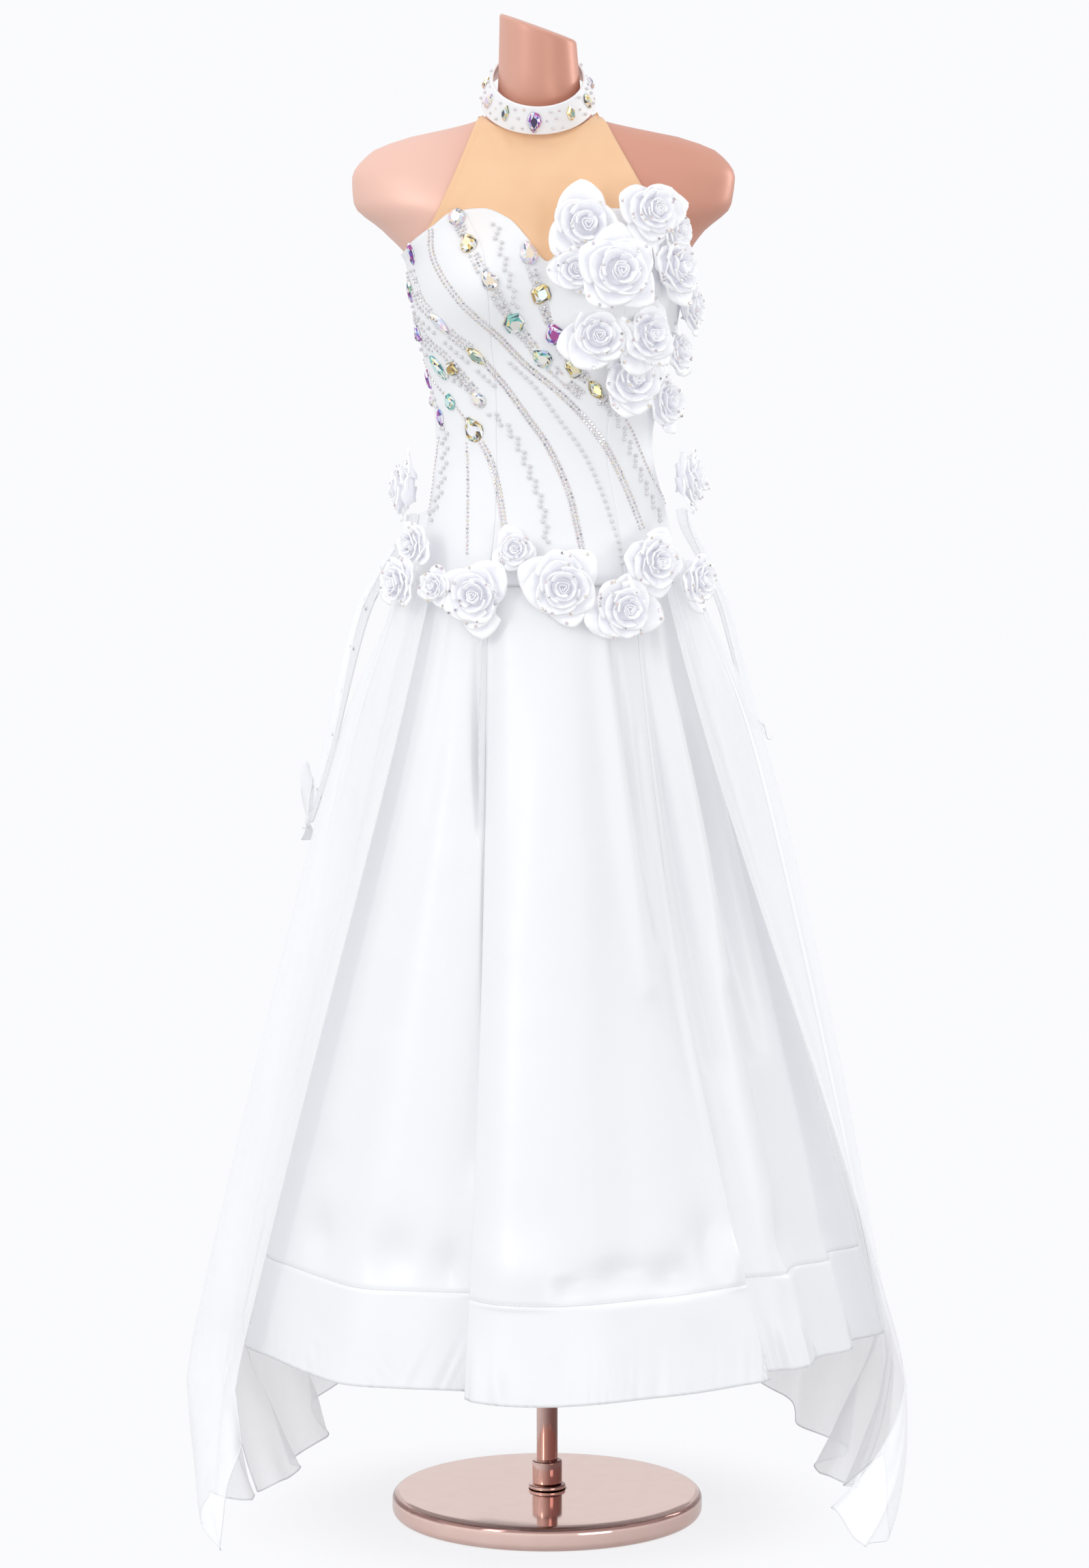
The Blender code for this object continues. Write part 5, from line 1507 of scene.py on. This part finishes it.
STONE_FULL = 1.14          # the sizes below, enlarged alike
BIG_STONES = [
    # kind       x       z      half width, half length, turn from upright, coat
    ("round",   -0.097, 1.461, 0.0085, 0.0085, 0, "clear"),
    ("pear",    -0.084, 1.430, 0.0090, 0.0120, 25, "amber"),
    ("pear",    -0.062, 1.391, 0.0080, 0.0120, 35, "clear"),
    ("pentagon", -0.037, 1.348, 0.0105, 0.0100, 10, "teal"),
    ("pear",    -0.005, 1.309, 0.0085, 0.0120, 50, "teal"),
    ("pear",    -0.021, 1.420, 0.0090, 0.0130, 10, "clear"),
    ("square",  -0.008, 1.378, 0.0090, 0.0085, 20, "amber"),
    ("pear",     0.009, 1.335, 0.0095, 0.0120, 20, "violet"),
    ("square",   0.029, 1.299, 0.0075, 0.0090, 30, "amber"),
    ("navette",  0.052, 1.275, 0.0065, 0.0110, 40, "amber"),
    ("navette", -0.145, 1.425, 0.0045, 0.0120, -15, "violet"),
    ("navette", -0.152, 1.383, 0.0045, 0.0110, -5, "violet"),
    ("kite",    -0.146, 1.388, 0.0035, 0.0060, 0, "teal"),
    ("navette", -0.114, 1.348, 0.0065, 0.0155, 48, "clear"),
    ("navette", -0.137, 1.337, 0.0045, 0.0110, 40, "violet"),
    ("pear",    -0.144, 1.334, 0.0040, 0.0065, 0, "violet"),
    ("navette", -0.116, 1.300, 0.0060, 0.0150, 35, "teal"),
    ("square",  -0.101, 1.299, 0.0070, 0.0065, 15, "amber"),
    ("navette", -0.076, 1.313, 0.0060, 0.0120, 45, "amber"),
    ("kite",    -0.127, 1.287, 0.0055, 0.0100, 5, "violet"),
    ("pear",    -0.073, 1.264, 0.0070, 0.0105, 35, "clear"),
    ("pear",    -0.103, 1.261, 0.0065, 0.0095, 20, "teal"),
    ("kite",    -0.113, 1.244, 0.0055, 0.0085, 10, "violet"),
    ("pear",    -0.078, 1.230, 0.0100, 0.0145, 30, "amber"),
    ("round",   -0.128, 1.262, 0.0040, 0.0060, 0, "clear"),
]

STRAND_PITCH = {"rhine2": 0.0041, "rhine1": 0.0045, "pearl1": 0.0078, "pearl2": 0.0056,
                "mixed": 0.0044}
STRANDS = [
    # kind, points across and up
    ("rhine2", [(-0.125, 1.449), (-0.123, 1.424), (-0.111, 1.397), (-0.088, 1.367),
                (-0.053, 1.334), (-0.024, 1.303), (0.024, 1.261), (0.060, 1.216),
                (0.086, 1.162), (0.101, 1.122)]),
    ("rhine2", [(-0.066, 1.305), (-0.043, 1.276), (-0.020, 1.243), (0.001, 1.212),
                (0.022, 1.165), (0.034, 1.116), (0.037, 1.100)]),
    ("pearl1", [(-0.040, 1.305), (-0.014, 1.279), (0.010, 1.246), (0.039, 1.204),
                (0.060, 1.156), (0.075, 1.110), (0.080, 1.085)]),
    ("pearl2", [(-0.060, 1.250), (-0.037, 1.226), (-0.019, 1.184), (-0.005, 1.145),
                (-0.001, 1.108)]),
    ("rhine2", [(-0.072, 1.220), (-0.060, 1.195), (-0.052, 1.163), (-0.046, 1.124)]),
    ("rhine1", [(-0.087, 1.238), (-0.085, 1.190), (-0.085, 1.150), (-0.086, 1.095)]),
    ("pearl2", [(-0.109, 1.232), (-0.109, 1.195), (-0.115, 1.158), (-0.125, 1.130)]),
    ("rhine1", [(-0.116, 1.222), (-0.120, 1.190), (-0.128, 1.160), (-0.135, 1.138)]),
    ("pearl2", [(-0.056, 1.452), (-0.053, 1.432), (-0.044, 1.397), (-0.036, 1.365)]),
    ("mixed", [(-0.146, 1.405), (-0.136, 1.374), (-0.127, 1.362), (-0.100, 1.335),
               (-0.078, 1.318), (-0.070, 1.305)]),
    ("pearl1", [(-0.146, 1.367), (-0.135, 1.352), (-0.110, 1.329), (-0.081, 1.303),
                (-0.057, 1.280)]),
    ("mixed", [(-0.146, 1.357), (-0.130, 1.330), (-0.108, 1.310), (-0.084, 1.281),
               (-0.073, 1.268)]),
    ("pearl1", [(-0.134, 1.320), (-0.110, 1.294), (-0.086, 1.276)]),
    ("rhine1", [(-0.136, 1.309), (-0.118, 1.280), (-0.098, 1.257), (-0.083, 1.236)]),
    ("pearl1", [(-0.122, 1.272), (-0.113, 1.244), (-0.110, 1.232)]),
    ("pearl2", [(0.057, 1.262), (0.076, 1.240), (0.091, 1.202), (0.106, 1.163),
                (0.122, 1.130)]),
    ("rhine1", [(0.080, 1.249), (0.092, 1.226), (0.108, 1.185), (0.128, 1.147)]),
    ("mixed", [(-0.095, 1.453), (-0.086, 1.436), (-0.070, 1.402), (-0.056, 1.378),
               (-0.041, 1.353), (-0.024, 1.333), (-0.008, 1.312), (0.018, 1.286),
               (0.036, 1.270)]),
    ("mixed", [(-0.021, 1.411), (-0.012, 1.386), (0.000, 1.354), (0.012, 1.327),
               (0.026, 1.305), (0.050, 1.278), (0.062, 1.262)]),
]


def pearl_shape():
    bm = bmesh.new()
    bmesh.ops.create_icosphere(bm, subdivisions=2, radius=1.0)
    points = np.array([v.co[:] for v in bm.verts])
    faces = [tuple(v.index for v in f.verts) for f in bm.faces]
    bm.free()
    return points, faces


def bodice_place(x, z, size, lift=0.0, turn=0.0):
    """A stone's middle, side, up, outward and scale on the bodice."""
    p, n, side = on_bodice(np.array(x), np.array(z), lift)
    up = np.cross(n, side)
    a = math.radians(turn)
    s = side * math.cos(a) + up * math.sin(a)
    u = np.cross(n, s)
    return (p, s, u, n, size, size, size)


def build_trims():
    rng = np.random.default_rng(23)
    big = {}
    taken = []
    for kind, x, z, half, length, turn, coat in BIG_STONES:
        p, s, u, n, *_ = bodice_place(x, z, 1.0, 0.0004, turn)
        half, length = half * STONE_FULL, length * STONE_FULL
        place = (p, s, u, n, half, length, 0.0035 + 0.2 * half)
        big.setdefault(kind, []).append((place, coat))
        taken.append((p, max(half, length)))
    for kind, rows in big.items():
        places, coats = [row[0] for row in rows], [row[1] for row in rows]
        ob = scatter("crystals_" + kind, cut_stone(fancy_outline(kind), FANCY_RINGS),
                     places, FINISH["crystal"], tints=(31 + len(kind), coats, 0.72))
    pearls, stones = [], []

    def free(p, room):
        return all(np.linalg.norm(p - q) > r * 0.92 + room for q, r in taken)

    def add_pearl(x, z, size=PEARL):
        place = bodice_place(x, z, 0.5 * size, 0.36 * size)
        if free(place[0], 0.0010):
            pearls.append(place)

    def add_stone(x, z, size=RHINESTONE):
        place = bodice_place(x, z, 0.5 * size, 0.0003)
        if free(place[0], 0.0008):
            stones.append(place)

    for kind, points in STRANDS:
        path = along_curve(points, STRAND_PITCH[kind])
        ahead = unit(np.gradient(path, axis=0))
        across = np.stack([-ahead[:, 1], ahead[:, 0]], axis=1)
        for k, (p, c) in enumerate(zip(path, across)):
            if kind == "rhine1":
                add_stone(*p)
            elif kind == "rhine2":
                for side in (-1, 1):
                    add_stone(*(p + c * side * 0.0021))
            elif kind == "pearl1":
                add_pearl(*p)
            elif kind == "pearl2":
                # two, then one, in turn
                if k % 3 == 2:
                    add_pearl(*p)
                else:
                    side = 1 if k % 3 else -1
                    add_pearl(*(p + c * side * 0.0030 * (1 - 0.35 * (k / len(path)))))
            else:
                for side in (-1.0, 0.0, 1.0):
                    jitter = (rng.random(2) - 0.5) * 0.0010
                    q = p + c * side * 0.0040 + jitter
                    if rng.random() < (0.35 if side == 0.0 else 0.60):
                        add_pearl(*q, size=PEARL * (0.72 + 0.25 * rng.random()))
                    elif rng.random() < 0.8:
                        add_stone(*q, size=RHINESTONE * (0.8 + 0.25 * rng.random()))
    collar_trims(pearls, stones)
    tail_trims(stones)
    ob = scatter("pearls", pearl_shape(), pearls, FINISH["pearl"], smooth=True)
    ob = scatter("rhinestones", round_stone(), stones, FINISH["crystal"],
                 tints=(8, ["small"], 0.7))
    print("TRIMS", len(pearls), "pearls", len(stones), "stones")


def collar_frame(az, v):
    """Place on the collar's outside, with its side, up and outward directions."""
    def place(az, v, out=COLLAR_WALL):
        return collar_at(np.array(az), np.array(v), np.array(out))

    side = unit(place(az + 1.0, v) - place(az - 1.0, v))
    rise = unit(place(az, v + 0.1) - place(az, v - 0.1))
    out = unit(np.cross(side, rise))
    return place(az, v, COLLAR_WALL + 0.0007), side, np.cross(out, side), out


COLLAR_STONES = [
    # kind     az     v     half width, half length
    ("pear", -4.0, 0.50, 0.0080, 0.0132),
    ("kite", -38.0, 0.56, 0.0058, 0.0090),
    ("kite", 38.0, 0.56, 0.0068, 0.0085),
    ("pear", -68.0, 0.55, 0.0062, 0.0100),
    ("pear", 68.0, 0.55, 0.0062, 0.0100),
    ("kite", -100.0, 0.55, 0.0058, 0.0085),
    ("kite", 100.0, 0.55, 0.0058, 0.0085),
]


def collar_trims(pearls, stones):
    places = {}
    for kind, az, v, half, length in COLLAR_STONES:
        p, side, up, out = collar_frame(az, v)
        if kind == "pear":
            up, side = -up, -side
        places.setdefault(kind, []).append((p, side, up, out, half, length, 0.0045))
    for kind, rows in places.items():
        ob = scatter("collar_crystals_" + kind, cut_stone(fancy_outline(kind), FANCY_RINGS),
                     rows, FINISH["crystal"],
                     tints=(51, ["violet", "clear", "amber"] if kind == "pear"
                            else ["teal", "amber", "amber", "clear"], 0.62))
    mids = [(az, v) for _, az, v, _, _ in COLLAR_STONES]
    number = 0
    for row, v in enumerate((0.20, 0.52, 0.84)):
        for az in np.arange(-132 + 5 * row, 133, 10.5):
            number += 1
            if any(abs(az - a) < 9.5 and abs(v - b) < 0.45 for a, b in mids):
                continue
            p, side, up, out = collar_frame(float(az), v + 0.05 * math.sin(az * 1.7))
            if number % 2:
                pearls.append((p + out * 0.0012, side, up, out) + (0.0018,) * 3)
            else:
                stones.append((p, side, up, out) + (0.0015,) * 3)


TAIL_STONES = [
    # share across the left wrist float, share down it
    (0.06, 0.10), (0.08, 0.17), (0.94, 0.20), (0.07, 0.27), (0.92, 0.31), (0.08, 0.42),
    (0.93, 0.44), (0.07, 0.56), (0.92, 0.60), (0.10, 0.70), (0.90, 0.78), (0.12, 0.88),
]
LOOP_WIDE, LOOP_TALL = 0.013, 0.040        # half width and half height of the finger loop


def tail_frame(u, v):
    p = float_at(WRIST_FLOATS["wrist_float_left"], np.array(u), np.array(v), wrist=True)
    out = unit(p * np.array((1.0, 1.0, 0.0)))
    return p, unit(np.cross((0.0, 0.0, 1.0), out)), out


def tail_trims(stones):
    """Stones along both edges of the left wrist float, and the loop for a finger."""
    for u, v in TAIL_STONES:
        p, side, out = tail_frame(u, v)
        stones.append((p + out * 0.0012, side, np.cross(out, side), out) + (0.0024,) * 3)
    end, side, out = tail_frame(0.5, 0.93)
    a, ring = np.meshgrid(np.linspace(0, 2 * np.pi, 73), np.linspace(0, 2 * np.pi, 9))
    wide = 0.0065 + 0.0020 * np.sin(3 * a)
    flat = 0.0016 + 0.0008 * np.cos(2 * a)
    turn = 1.5 * a
    e, f = wide * np.cos(ring), flat * np.sin(ring)
    push, lean = e * np.cos(turn) - f * np.sin(turn), e * np.sin(turn) + f * np.cos(turn)
    along = (LOOP_WIDE + push) * np.sin(a)
    up = 0.004 + (LOOP_TALL + push) * np.cos(a)
    shape = (end + out * (0.004 + lean)[..., None] + side * along[..., None]
             + np.array((0.0, 0.0, 1.0)) * up[..., None])
    loop = cloth("wrist_float_left_loop", shape, FINISH["thread"], 0.0)


# ---------------------------------------------------------------- studio
FLOOR_HALF = 2.0
SOFTBOXES = [
    # name, place, aimed at, width, height, watts
    ("key", (-2.6, -2.8, 2.6), (0.0, 0.0, 1.2), 1.0, 1.8, 20),
    ("low", (2.2, -3.2, 0.5), (0.0, 0.0, 0.5), 1.6, 1.2, 15),
    ("rim", (2.8, 1.4, 2.0), (0.0, 0.0, 1.3), 0.5, 1.6, 20),
]
CAMERA_PLACE, CAMERA_DOWN, LENS = (-0.003, -5.0, 1.30), 5.33, 102.8


def build_studio():
    scene = bpy.context.scene
    floor = bpy.data.meshes.new("floor")
    corners = [(-1, -1), (1, -1), (1, 1), (-1, 1)]
    floor.from_pydata([(x * FLOOR_HALF, y * FLOOR_HALF, 0) for x, y in corners],
                      [], [(0, 1, 2, 3)])
    floor.materials.append(FINISH["floor"])
    ob = bpy.data.objects.new("floor", floor)
    scene.collection.objects.link(ob)

    g = Graph("studio", bpy.data.worlds)
    around = g.tree.nodes["Background"]
    # soft light all round, strongest from above and the left
    toward = g.add("ShaderNodeVectorMath", {"operation": "DOT_PRODUCT"},
                   {0: g.place("Generated"), 1: (-0.10, -0.05, 0.32)}, "Value")
    g.join(around.inputs["Color"], (0.975, 0.98, 1.0, 1))
    g.join(around.inputs["Strength"], toward + 0.80)
    plain = g.add("ShaderNodeBackground", {}, {"Color": (0.962, 0.963, 0.982, 1)})
    seen = g.add("ShaderNodeLightPath", {}, {}, "Is Camera Ray")
    choose = g.add("ShaderNodeMixShader", {},
                   {0: seen, 1: Value(g, around.outputs[0]), 2: plain})
    g.join(g.tree.nodes["World Output"].inputs["Surface"], choose)
    scene.world = g.finish

    for name, place, target, wide, tall, watts in SOFTBOXES:
        light = bpy.data.lights.new(name, "AREA")
        light.shape = "RECTANGLE"
        light.size, light.size_y = wide, tall
        light.energy = watts
        lamp = bpy.data.objects.new(name, light)
        lamp.location = place
        aim = Vector(target) - Vector(place)
        lamp.rotation_euler = aim.to_track_quat("-Z", "Y").to_euler()
        scene.collection.objects.link(lamp)

    camera = bpy.data.cameras.new("camera")
    camera.sensor_width = 36.0
    camera.sensor_fit = "AUTO"
    camera.lens = LENS
    cam = bpy.data.objects.new("camera", camera)
    cam.location = CAMERA_PLACE
    cam.rotation_euler = (math.radians(90 - CAMERA_DOWN), 0.0, 0.0)
    scene.collection.objects.link(cam)
    scene.camera = cam
    scene.view_settings.view_transform = "Standard"


build_form()
build_stand()
build_bodice()
build_yoke()
build_collar()
build_skirt()
build_floats()
build_roses()
build_trims()
build_studio()
